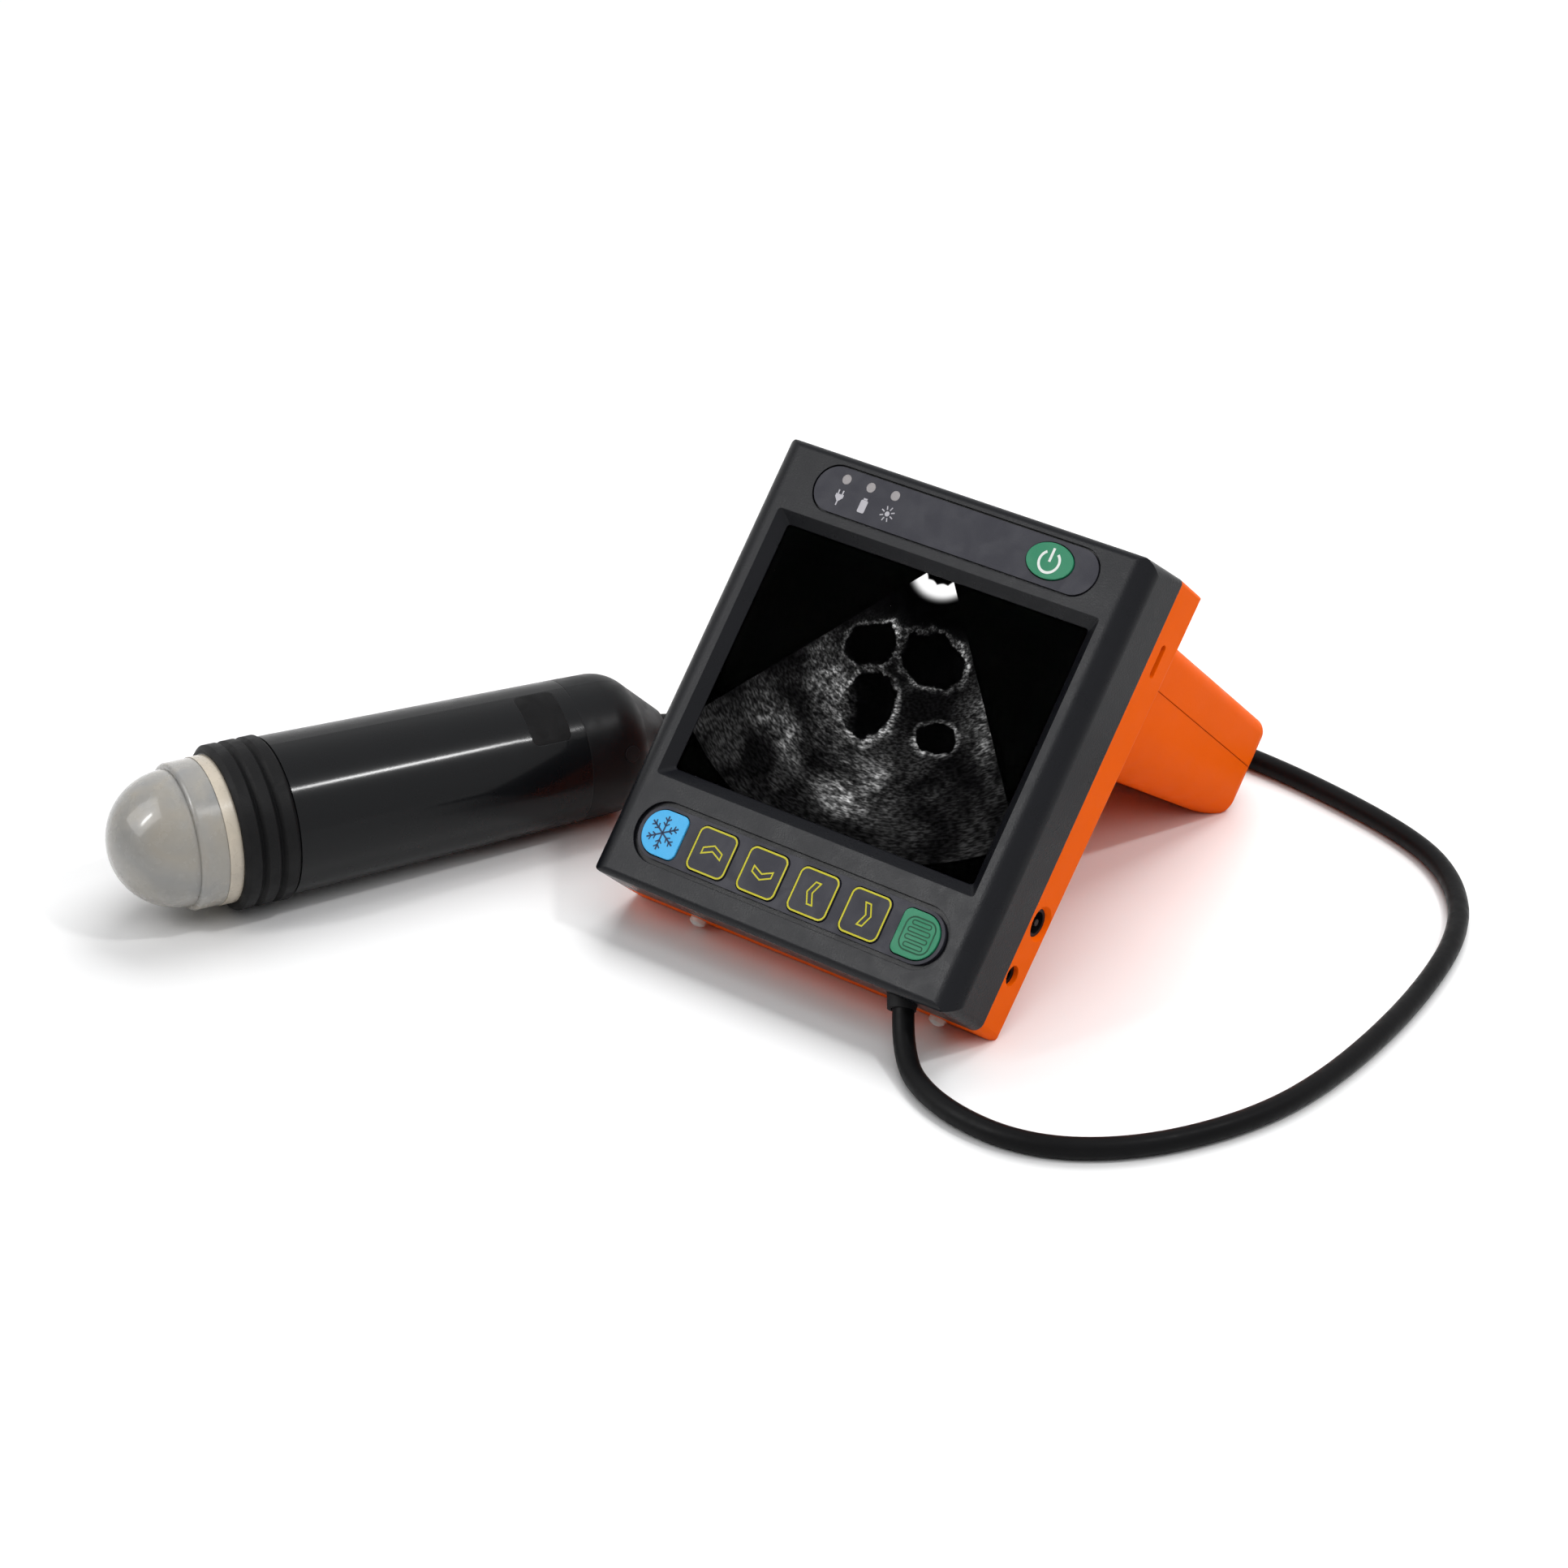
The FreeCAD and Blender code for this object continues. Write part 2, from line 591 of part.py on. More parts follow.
def main_posts():
    return mirrored(MAIN_W / 2 - 11.0, (MAIN_END + 3.0, CASE_H - MAIN_END - 4.0))


def battery_bay():
    return box((-BAY_W / 2, BAY_W / 2), (BAY_FLOOR, GRIP_SEAM + 1), (-BAY_FRONT - BAY_L, -BAY_FRONT))


def wiring_space():
    """Hollow root of the grip, open to the inside of the case."""
    tall = (GRIP_FLARE + WALL, GRIP_SEAM - 2 * WALL)
    return box((-BAY_W / 2, BAY_W / 2), tall, (-BAY_FRONT + WALL, REAR_T + 1))


def battery_cover():
    solid = grip_block().common(behind(GRIP_SEAM + LID_GAP, CASE_H, -LID_GAP))
    width = GRIP_W_END - 2 * LID_WALL
    inside = (-GRIP_L + LID_END_WALL, -REAR_RISE - LID_WALL)
    solid = solid.cut(box((-width / 2, width / 2), (0, GRIP_TOP - LID_WALL), inside))
    middle = -BAY_FRONT - BAY_L / 2
    along = (middle - LIP_L / 2, middle + LIP_L / 2)
    for side in (-1, 1):
        outer = side * (BAY_W / 2 - 2 * LID_GAP)
        inner = outer - side * LIP_T
        foot = side * (width / 2 + 0.5)
        lip = box(sorted((outer, inner)), (GRIP_SEAM - LIP_H, GRIP_TOP - LID_WALL), along)
        web = box(sorted((inner, foot)), (GRIP_SEAM + 3.0, GRIP_TOP - LID_WALL), along)
        solid = solid.fuse([lip, web])
    return solid


def battery_pack():
    low = BAY_FLOOR + FIT
    pack = box((-BATTERY_W / 2, BATTERY_W / 2), (low, low + BATTERY_T),
               (-BAY_FRONT - BAY_L + FIT, -BAY_FRONT - BAY_L + FIT + BATTERY_L))
    edges = [e for e in pack.Edges if abs(e.tangentAt(e.FirstParameter).z) > 0.9]
    return pack.makeFillet(BATTERY_T * 0.4, edges)


def battery_contacts():
    tip = -BAY_FRONT - BAY_L + 2 * FIT + BATTERY_L
    contacts = []
    for x in (-CONTACT_X, 0, CONTACT_X):
        foot = box((x - 2, x + 2), (BAY_FLOOR, BAY_FLOOR + 9), (-BAY_FRONT - 1.0, -BAY_FRONT))
        blade = box((x - 2, x + 2), (BAY_FLOOR + 3, BAY_FLOOR + 6), (tip, -BAY_FRONT - 1.0))
        contacts.append(foot.fuse(blade))
    return contacts


def screen_window():
    width, height = VIEW_W + 2 * WINDOW_LAP, VIEW_H + 2 * WINDOW_LAP
    return plate(width, height, 1.0, lcd_front(), face_back(), 0, SCREEN_Y)


def lcd_module():
    return plate(LCD_W, LCD_H, 0.8, lcd_front() - LCD_T, lcd_front(), 0, SCREEN_Y)


def lcd_bracket():
    low, high = bracket_back(), bracket_back() + BRACKET_T
    frame = plate(LCD_W, LCD_H + 2 * BRACKET_LIP, 2.0, low, high, 0, SCREEN_Y)
    width, height = LCD_W - 2 * BRACKET_SIDE, LCD_H - 2 * BRACKET_RAIL
    frame = frame.cut(plate(width, height, 3.0, low - 1, high + 1, 0, SCREEN_Y))
    return frame.cut([post(SCREW_R - 0.2, x, y, low - 1, high + 1) for x, y in bracket_posts()])


def bracket_screws():
    screws = []
    for x, y in bracket_posts():
        head = post(PILLAR_R, x, y, bracket_back() - 1.3, bracket_back())
        screws.append(head.fuse(post(SCREW_R - 0.2, x, y, bracket_back() - 0.5, bracket_back() + 5)))
    return screws


def keypad_overlay():
    width, height = KEYPAD_W - 2 * KEYPAD_GROOVE, KEYPAD_H - 2 * KEYPAD_GROOVE
    solid = plate(width, height, height / 2 - 0.01, CASE_D - OVERLAY_T, CASE_D, 0, KEYPAD_Y)
    return solid.cut(key_holes(KEY_GAP))


def indicator_overlay():
    width, height = PANEL_W - 2 * PANEL_GROOVE, PANEL_H - 2 * PANEL_GROOVE
    solid = plate(width, height, height / 2 - 0.01, CASE_D - OVERLAY_T, CASE_D, PANEL_X, PANEL_Y)
    return solid.cut(key_holes(KEY_GAP))


def key(index):
    x = key_centres()[index]
    cap = plate(KEY_W, KEY_W, key_radii(index), key_bottom(), CASE_D + KEY_PROUD, x, KEYPAD_Y)
    return cap.fuse(post(STEM_R, x, KEYPAD_Y, key_bottom() - STEM_L, key_bottom()))


def power_key():
    cap = ellipse(POWER_W, POWER_H, POWER_X, POWER_Y, key_bottom(), CASE_D + KEY_PROUD)
    return cap.fuse(post(STEM_R, POWER_X, POWER_Y, key_bottom() - STEM_L, key_bottom()))


def key_switches():
    top = key_bottom() - STEM_L - KEY_TRAVEL - 0.1
    centres = [(x, KEYPAD_Y) for x in key_centres()] + [(POWER_X, POWER_Y)]
    bodies = [plate(SWITCH_W, SWITCH_W, 0.5, board_front(), top - 0.4, x, y) for x, y in centres]
    buttons = [post(1.5, x, y, top - 0.4, top) for x, y in centres]
    return [body.fuse(button) for body, button in zip(bodies, buttons)]


def keypad_board():
    width = (KEYS - 1) * KEY_PITCH + KEY_W + 1.0
    return plate(width, KEYPAD_H - 2.0, 1.0, board_front() - BOARD_T, board_front(), 0, KEYPAD_Y)


def indicator_board():
    return plate(PANEL_W - 4.0, PANEL_H - 2.0, 1.0, board_front() - BOARD_T, board_front(), PANEL_X, PANEL_Y)


def status_leds():
    return [post(LED_R, LED_X + i * LED_PITCH, LED_Y, board_front(), CASE_D) for i in range(3)]


def main_board():
    top = MAIN_Z + PCB_T
    board = plate(MAIN_W, CASE_H - 2 * MAIN_END, 2.0, MAIN_Z, top, 0, CASE_H / 2)
    chips = [(0, 80, 17), (-28, 78, 12), (26, 92, 14), (-24, 46, 18), (18, 50, 10)]
    return board.fuse([plate(w, w, 0.3, top, top + 1.6, x, y) for x, y, w in chips])


def jack_block(y, z, width, height, nose_r):
    """Socket body behind the side wall, with a round nose that fills its hole."""
    wall = CASE_W / 2 - WALL
    block = box((wall - JACK_L, wall), (y - width / 2, y + width / 2), (z - height / 2, MAIN_Z))
    return block.fuse(rod(nose_r, (wall - 1, y, z), (1, 0, 0), 1 + WALL - NOSE_SINK))


def dc_jack():
    wall = CASE_W / 2 - WALL
    floor = back_level(DC_Y - DC_FUNNEL_R) + REAR_T + FIT
    solid = jack_block(DC_Y, DC_Z, 10.0, 2 * (DC_Z - floor), DC_HOLE_R)
    solid = solid.cut(rod(DC_BORE_R, (wall - JACK_L + 2, DC_Y, DC_Z), (1, 0, 0), JACK_L + WALL))
    return solid.fuse(rod(DC_PIN_R, (wall - JACK_L + 1, DC_Y, DC_Z), (1, 0, 0), JACK_L))


def av_jack():
    wall = CASE_W / 2 - WALL
    solid = jack_block(AV_Y, AV_Z, 7.0, 5.6, AV_HOLE_R)
    tail = box((wall - AV_BORE_L - 1, wall - JACK_L), (AV_Y - 3.5, AV_Y + 3.5), (AV_Z - 2.8, MAIN_Z))
    start = CASE_W / 2 - NOSE_SINK - AV_BORE_L
    return solid.fuse(tail).cut(rod(AV_BORE_R, (start, AV_Y, AV_Z), (1, 0, 0), AV_BORE_L + 1))


def usb_port():
    wall = CASE_W / 2 - WALL
    block = box((wall - 7.0, wall), (USB_Y - USB_W / 2, USB_Y + USB_W / 2), (USB_Z - 2.2, MAIN_Z))
    mouth = prism(rectangle(USB_W - 1.6, USB_H - 0.4, USB_Y, USB_Z), [0.8] * 4, "yz", wall - 5.5, 8.0)
    tongue = box((wall - 6.0, wall - 1.0), (USB_Y - 2.6, USB_Y + 2.6), (USB_Z - 0.3, USB_Z + 0.3))
    return block.cut(mouth).fuse(tongue)


def case_screws():
    screws = []
    for x, y in bosses():
        high = back_level(y) + SCREW_SINK
        low = high - SCREW_HEAD_T
        head = post(SCREW_HEAD_R, x, y, low, high)
        head = head.cut(box((x - 1.6, x + 1.6), (y - 0.35, y + 0.35), (low - 1.0, low + 1.0)))
        head = head.cut(box((x - 0.35, x + 0.35), (y - 1.6, y + 1.6), (low - 1.0, low + 1.0)))
        screws.append(head.fuse(post(SCREW_R, x, y, high - 0.5, high + SCREW_L)))
    return screws


def bottom_feet():
    feet = []
    for x in (-CASE_W / 2 + FOOT_LEFT, CASE_W / 2 - FOOT_RIGHT):
        dome_r = (FOOT_R ** 2 + 1.0) / 2.0
        stud = rod(FOOT_R, (x, -FOOT_H + 1.0, FOOT_Z), (0, 1, 0), FOOT_H - 1.0)
        cap = Part.makeSphere(dome_r, Vector(x, -FOOT_H + dome_r, FOOT_Z))
        cap = cap.common(box((x - 9, x + 9), (-FOOT_H, -FOOT_H + 1.0), (FOOT_Z - 9, FOOT_Z + 9)))
        feet.append(stud.fuse(cap))
    return feet


def gland_rod(radius, start, length):
    """Cylinder on the cable's line through the bottom wall; start is measured from the outer face."""
    tilt = math.radians(GLAND_TILT)
    inward = Vector(-math.sin(tilt), math.cos(tilt), 0)
    return Part.makeCylinder(radius, length, Vector(GLAND_X, 0, GLAND_Z) + inward * start, inward)


def cable_boot():
    tilt = math.radians(GLAND_TILT)
    outward = Vector(math.sin(tilt), -math.cos(tilt), 0)
    base = Vector(GLAND_X, 0, GLAND_Z)
    around = (-CASE_W, CASE_W)
    cone = Part.makeCone(GLAND_R, GLAND_TIP_R, GLAND_L + 3, base - outward * 3, outward)
    cone = cone.common(box(around, (-2 * CASE_H, 0), around))
    neck = gland_rod(NECK_R, -2 * WALL, 4 * WALL).common(box(around, (0, WALL), around))
    flange = gland_rod(GLAND_R + 0.5, 0, 4 * WALL).common(box(around, (WALL, WALL + FLANGE_T), around))
    return cone.fuse([neck, flange]).cut(gland_rod(CABLE_R, -3 * WALL, 8 * WALL))


def probe_connector():
    """Plug of the probe cable on the main board."""
    front = board_front() - BOARD_T - FIT
    x = GLAND_X - math.tan(math.radians(GLAND_TILT)) * (PLUG_LOW + 4.0)
    block = box((x - PLUG_W / 2, x + PLUG_W / 2), (PLUG_LOW, PLUG_HIGH), (MAIN_Z + PCB_T, front))
    return block.cut(gland_rod(CABLE_R, 0, CABLE_INSIDE))


# --- cable ------------------------------------------------------------------------------------------------
def cable_points():
    console = console_placement()
    tilt = math.radians(GLAND_TILT)
    outward = Vector(math.sin(tilt), -math.cos(tilt), 0)
    exit_point = Vector(GLAND_X, 0, GLAND_Z)
    first = console.multVec(exit_point - outward * CABLE_INSIDE)
    direction = console.Rotation.multVec(outward)
    second = first + direction * ((first.z - CABLE_R) / -direction.z)
    probe = probe_placement()
    tail = BODY_END + CAP_L
    last = probe.multVec(Vector(tail - 9.0, 0, 0))
    rise = probe.multVec(Vector(tail + 18.0, 0, 0))
    return [first, second] + [Vector(*p) for p in CABLE_ROUTE] + [rise, last]


def probe_cable():
    """Tube along straight runs joined by tangent arcs, each as large as its runs allow."""
    points = cable_points()
    edges, radii = [], []
    start = points[0]
    for before, corner, after in zip(points, points[1:], points[2:]):
        to_before, to_after = before - corner, after - corner
        reach = 0.45 * min(to_before.Length, to_after.Length)
        to_before.normalize()
        to_after.normalize()
        half = to_before.getAngle(to_after) / 2
        radius = reach * math.tan(half)
        bisector = to_before + to_after
        bisector.normalize()
        entry, leave = corner + to_before * reach, corner + to_after * reach
        middle = corner + bisector * (radius / math.sin(half) - radius)
        edges.append(Part.LineSegment(start, entry).toShape())
        edges.append(Part.Arc(entry, middle, leave).toShape())
        radii.append(round(radius, 1))
        start = leave
    edges.append(Part.LineSegment(start, points[-1]).toShape())
    path = Part.Wire(edges)
    circle = Part.Wire(Part.Circle(points[0], points[1] - points[0], CABLE_R).toShape())
    tube = path.makePipeShell([circle], True, False)
    print("cable length", round(path.Length, 1), "arc radii", radii)
    print("cable volume / section x length", round(tube.Volume / (math.pi * CABLE_R ** 2 * path.Length), 4))
    return tube


# --- probe pieces -------------------------------------------------------------------------------------------
def acoustic_dome():
    """Dome round the sweeping transducer, with a wider base and a spigot in the housing."""
    ball = Part.makeSphere(DOME_R, Vector(DOME_R, 0, 0))
    base = ring(DOME_R, DOME_END, 0, DOME_BASE_R)
    edges = [e for e in base.Edges
             if abs(e.BoundBox.XMax - DOME_R) < 0.01 and e.BoundBox.ZMax > DOME_BASE_R - 0.1]
    base = base.makeFillet(1.2, edges[:1])
    solid = ball.fuse([base, ring(DOME_END, DOME_END + SPIGOT_L, 0, SPIGOT_R)])
    inner = DOME_R - DOME_WALL
    solid = solid.cut(Part.makeSphere(inner, Vector(DOME_R, 0, 0)))
    solid = solid.cut(ring(DOME_R, DOME_END + SPIGOT_L + 1, 0, inner))
    return solid.cut(ring(SEAL_X - SEAL_R - FIT, SEAL_X + SEAL_R + FIT, SPIGOT_R - 2 * SEAL_R, SPIGOT_R + 1))


def dome_seal():
    return Part.makeTorus(SPIGOT_R - SEAL_R, SEAL_R, Vector(SEAL_X, 0, 0), Vector(1, 0, 0))


def dome_ring():
    return ring(DOME_END, DOME_END + RING_L, SPIGOT_R, RING_R)


def probe_collar():
    """Rubber collar with three ribs."""
    start, pitch = collar_front(), COLLAR_L / 3
    solid = ring(start, collar_end(), NECK_OUT_R, COLLAR_R)
    for i in range(4):
        middle = start + i * pitch
        solid = solid.cut(turned([(middle - RIB_EDGE, COLLAR_R), (middle, COLLAR_R - COLLAR_GROOVE),
                                  (middle + RIB_EDGE, COLLAR_R), (middle, COLLAR_R + 1)]))
    return solid


def body_radius(x):
    share = (x - collar_end()) / (BODY_END - collar_end())
    return BODY_R + (BODY_END_R - BODY_R) * share


def probe_housing():
    front = collar_front()
    deep = DOME_END + SPIGOT_L
    solid = turned([(front, SPIGOT_R), (front, NECK_OUT_R), (collar_end(), NECK_OUT_R),
                    (collar_end(), BODY_R), (BODY_END, BODY_END_R), (BODY_END, BODY_BORE_R),
                    (deep, BODY_BORE_R), (deep, SPIGOT_R)])
    return solid.cut(label_block(LABEL_T, 5.0))


def label_block(depth, height):
    """Piece of the housing's skin under the label, from the given depth below the surface upwards."""
    radius = body_radius(LABEL_X)
    pad = plate(LABEL_L, LABEL_W, 2.0, 0, radius + height, LABEL_X, 0)
    low, high = LABEL_X - LABEL_L, LABEL_X + LABEL_L
    pad = pad.cut(turned([(low, 0), (low, body_radius(low) - depth),
                          (high, body_radius(high) - depth), (high, 0)]))
    pad.rotate(Vector(0, 0, 0), Vector(1, 0, 0), LABEL_TURN)
    return pad


def label_plate():
    low, high = LABEL_X - LABEL_L, LABEL_X + LABEL_L
    skin = turned([(low, 0), (low, body_radius(low)), (high, body_radius(high)), (high, 0)])
    return label_block(LABEL_T, 5.0).common(skin)


def cap_profile(inset):
    """Half outline of the tail cap: short straight shoulder, round, then a cone to the cable."""
    shoulder = BODY_END + CAP_SHOULDER_L
    tip = BODY_END + CAP_L
    big = BODY_END_R - inset
    small = CAP_TIP_R - min(inset, CAP_TIP_R - CABLE_R)
    points = [Vector(BODY_END, 0, 0), Vector(BODY_END, 0, big), Vector(shoulder, 0, big - 0.3),
              Vector(shoulder + 10.0, 0, big * 0.78), Vector(tip, 0, small), Vector(tip, 0, 0)]
    bend = Part.BSplineCurve()
    bend.interpolate([points[2], Vector(shoulder + 5.5, 0, big * 0.935), points[3]])
    runs = [(0, 1), (1, 2), (3, 4), (4, 5), (5, 0)]
    edges = [Part.LineSegment(points[a], points[b]).toShape() for a, b in runs]
    edges.insert(2, bend.toShape())
    return Part.Face(Part.Wire(edges)).revolve(Vector(0, 0, 0), Vector(1, 0, 0), 360)


def probe_tail_cap():
    tip = BODY_END + CAP_L
    solid = cap_profile(0)
    hollow = cap_profile(CAP_WALL).common(ring(BODY_END - 1, tip - 6.0, 0, BODY_R))
    solid = solid.cut(hollow)
    solid = solid.fuse(ring(BODY_END - 5.0, BODY_END + 1.0, BODY_BORE_R - 1.6, BODY_BORE_R))
    return solid.cut([ring(tip - 20, tip + 1, 0, TAIL_BOOT_R - 0.6), plug_rod(1.0)])


def plug_rod(depth):
    plug = rod(FILL_R, (FILL_X, 0, BODY_END_R - 1.4 - depth), (0, 0, 1), 10.0)
    plug.rotate(Vector(0, 0, 0), Vector(1, 0, 0), FILL_TURN)
    return plug


def fill_plug():
    """Screw plug of the oil filling hole, nearly flush with the cap."""
    return plug_rod(1.0).common(cap_profile(-0.25))


def tail_boot():
    tip = BODY_END + CAP_L
    solid = ring(tip - 6.0, tip, CABLE_R, TAIL_BOOT_R - 0.6)
    end = tip + TAIL_BOOT_L
    cone = turned([(tip, CABLE_R), (tip, TAIL_BOOT_R), (end, CABLE_R + 0.6), (end, CABLE_R)])
    return solid.fuse(cone)


# --- probe's drive ------------------------------------------------------------------------------------------
def pivot():
    """The transducer swings about the centre of the dome."""
    return DOME_R


def motor_x():
    return pivot() + GEAR_MODULE * (GEAR_TEETH + PINION_TEETH) / 2


def gear(teeth, turn):
    """Spur gear in the XZ plane, centred on the origin, with involute flanks."""
    pitch = GEAR_MODULE * teeth / 2
    base = pitch * math.cos(math.radians(20))
    tip, root = pitch + 0.85 * GEAR_MODULE, pitch - 1.15 * GEAR_MODULE
    at_pitch = math.pi / (2 * teeth) - BACKLASH / (2 * pitch) + math.tan(math.radians(20)) - math.radians(20)
    points = []
    for tooth in range(teeth):
        middle = math.radians(turn) + 2 * math.pi * tooth / teeth
        flank = []
        for share in (0.0, 0.4, 0.75, 1.0):
            radius = max(base, root) + (tip - max(base, root)) * share
            press = math.acos(min(1.0, base / radius))
            flank.append((radius, at_pitch - (math.tan(press) - press)))
        flank.insert(0, (root, flank[0][1]))
        for radius, half in flank:
            points.append((radius, middle - half))
        for radius, half in reversed(flank):
            points.append((radius, middle + half))
    corners = [Vector(r * math.cos(a), GEAR_Y, r * math.sin(a)) for r, a in points]
    return Part.Face(Part.makePolygon(corners + corners[:1])).extrude(Vector(0, GEAR_T, 0))


def rocker_gear():
    """Toothed sector on the rocker's hub, facing the motor."""
    solid = gear(GEAR_TEETH, 0)
    radius = GEAR_MODULE * (GEAR_TEETH / 2 + 2)
    spread = math.radians(GEAR_SECTOR)
    x, z = 2 * radius * math.cos(spread), 2 * radius * math.sin(spread)
    corners = [Vector(0, GEAR_Y - 1, 0), Vector(x, GEAR_Y - 1, -z), Vector(4 * radius, GEAR_Y - 1, 0),
               Vector(x, GEAR_Y - 1, z)]
    wedge = Part.makePolygon(corners + corners[:1])
    solid = solid.common(Part.Face(wedge).extrude(Vector(0, GEAR_T + 2, 0)))
    solid = solid.fuse(rod(HUB_R + 1.5, (0, GEAR_Y, 0), (0, 1, 0), GEAR_T))
    solid = solid.cut(rod(HUB_R, (0, GEAR_Y - 1, 0), (0, 1, 0), GEAR_T + 2))
    solid.translate(Vector(pivot(), 0, 0))
    return solid


def transducer_rocker():
    x = pivot()
    hub = rod(HUB_R, (x, -HUB_W / 2, 0), (0, 1, 0), HUB_W)
    holder = rod(HOLDER_R, (x - HOLDER_FRONT, 0, 0), (1, 0, 0), HOLDER_FRONT - HUB_R)
    stem = box((x - HOLDER_FRONT + 4, x), (-3.5, 3.5), (-HUB_R, HUB_R))
    solid = hub.fuse([holder, stem])
    solid = solid.cut(rod(CRYSTAL_R, (x - HOLDER_FRONT - 1, 0, 0), (1, 0, 0), CRYSTAL_T + 1))
    return solid.cut(rod(PIN_R + RUN, (x, -HUB_W, 0), (0, 1, 0), 2 * HUB_W))


def transducer_crystal():
    return rod(CRYSTAL_R, (pivot() - HOLDER_FRONT, 0, 0), (1, 0, 0), CRYSTAL_T)


def rocker_pin():
    return rod(PIN_R, (pivot(), -ARM_Y - ARM_T, 0), (0, 1, 0), 2 * (ARM_Y + ARM_T))


def motor_pinion():
    turn = 180.0 / PINION_TEETH if PINION_TEETH % 2 == 0 else 0.0
    solid = gear(PINION_TEETH, turn)
    solid = solid.cut(rod(SHAFT_R, (0, GEAR_Y - 1, 0), (0, 1, 0), GEAR_T + 2))
    solid.translate(Vector(motor_x(), 0, 0))
    return solid


def motor_shaft():
    top = -ARM_Y + MOTOR_L
    return rod(SHAFT_R, (motor_x(), top - 6.0, 0), (0, 1, 0), GEAR_Y + GEAR_T + 0.5 - top + 6.0)


def motor_screw_rods(start, length):
    """Lines of the two screws through the arm into the motor's end."""
    return [rod(MOTOR_SCREW_R, (motor_x(), start, z), (0, 1, 0), length)
            for z in (-MOTOR_SCREW_Z, MOTOR_SCREW_Z)]


def drive_motor():
    solid = rod(MOTOR_R, (motor_x(), -ARM_Y, 0), (0, 1, 0), MOTOR_L)
    solid = solid.cut(motor_screw_rods(-ARM_Y - 1, 1 + MOTOR_SCREW_L - ARM_T))
    return solid.cut(rod(SHAFT_R + RUN, (motor_x(), -ARM_Y + MOTOR_L - 6.5, 0), (0, 1, 0), 10.0))


def motor_screws():
    outside = -ARM_Y - ARM_T
    heads = [rod(2 * MOTOR_SCREW_R, (motor_x(), outside - 1.0, z), (0, 1, 0), 1.0)
             for z in (-MOTOR_SCREW_Z, MOTOR_SCREW_Z)]
    return [head.fuse(shank) for head, shank in zip(heads, motor_screw_rods(outside, MOTOR_SCREW_L))]


def probe_frame():
    disc = rod(BODY_BORE_R, (DISC_X, 0, 0), (1, 0, 0), DISC_T)
    front = pivot() - ARM_W / 2
    solid = disc
    for side in (-1, 1):
        across = sorted((side * ARM_Y, side * (ARM_Y + ARM_T)))
        solid = solid.fuse(box((front, DISC_X + 1), across, (-ARM_W / 2, ARM_W / 2)))
    pin_hole = rod(PIN_R, (pivot(), -ARM_Y - 2 * ARM_T, 0), (0, 1, 0), 2 * ARM_Y + 4 * ARM_T)
    solid = solid.cut(pin_hole)
    solid = solid.cut(motor_screw_rods(-ARM_Y - 2 * ARM_T, 3 * ARM_T))
    return solid.cut([rod(2.5, (DISC_X - 1, 0, z), (1, 0, 0), DISC_T + 2) for z in (-11.0, 11.0)])


def probe_board():
    start = DISC_X + DISC_T
    board = box((start, start + PCB_L), (-BODY_BORE_R + 0.2, BODY_BORE_R - 0.2), (-PCB_T / 2, PCB_T / 2))
    steps = [start + PCB_CHIP * (2 * i + 1.5) for i in range(3)]
    chips = [box((x, x + PCB_CHIP), (-5, 5), (PCB_T / 2, PCB_T / 2 + 1.5)) for x in steps]
    return board.fuse(chips)


# --- writing the pieces -------------------------------------------------------------------------------------
def save(name, shape, placement):
    solids = shape if isinstance(shape, list) else [shape]
    placed = []
    for solid in solids:
        copy = solid.copy()
        copy.Placement = placement.multiply(copy.Placement)
        placed.append(copy.removeSplitter())
    whole = placed[0] if len(placed) == 1 else Part.makeCompound(placed)
    whole.exportStep("parts/" + name + ".step")


CONSOLE_PIECES = {
    "front_bezel": front_bezel, "rear_shell": rear_shell, "battery_cover": battery_cover,
    "battery_pack": battery_pack, "battery_contacts": battery_contacts, "screen_window": screen_window,
    "lcd_module": lcd_module, "lcd_bracket": lcd_bracket, "bracket_screws": bracket_screws,
    "keypad_overlay": keypad_overlay, "indicator_overlay": indicator_overlay, "power_key": power_key,
    "key_switches": key_switches, "keypad_board": keypad_board, "indicator_board": indicator_board,
    "status_leds": status_leds, "main_board": main_board, "dc_jack": dc_jack, "av_jack": av_jack,
    "usb_port": usb_port, "case_screws": case_screws, "bottom_feet": bottom_feet, "cable_boot": cable_boot,
    "probe_connector": probe_connector,
}
KEY_NAMES = ["freeze_key", "up_key", "down_key", "left_key", "right_key", "menu_key"]
PROBE_PIECES = {
    "acoustic_dome": acoustic_dome, "dome_seal": dome_seal, "dome_ring": dome_ring,
    "probe_collar": probe_collar, "probe_housing": probe_housing, "label_plate": label_plate,
    "probe_tail_cap": probe_tail_cap, "fill_plug": fill_plug, "tail_boot": tail_boot,
    "rocker_gear": rocker_gear, "transducer_rocker": transducer_rocker,
    "transducer_crystal": transducer_crystal, "rocker_pin": rocker_pin, "motor_pinion": motor_pinion,
    "motor_shaft": motor_shaft, "drive_motor": drive_motor, "motor_screws": motor_screws,
    "probe_frame": probe_frame, "probe_board": probe_board,
}


def main():
    os.makedirs("parts", exist_ok=True)
    for name, make in CONSOLE_PIECES.items():
        save(name, make(), console_placement())
    for index, name in enumerate(KEY_NAMES):
        save(name, key(index), console_placement())
    for name, make in PROBE_PIECES.items():
        save(name, make(), probe_placement())
    save("probe_cable", probe_cable(), Placement())
    print("lean", round(math.degrees(lean_angle()), 3))


main()
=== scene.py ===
import json
import math

import bmesh
import bpy
from mathutils import Matrix, Vector


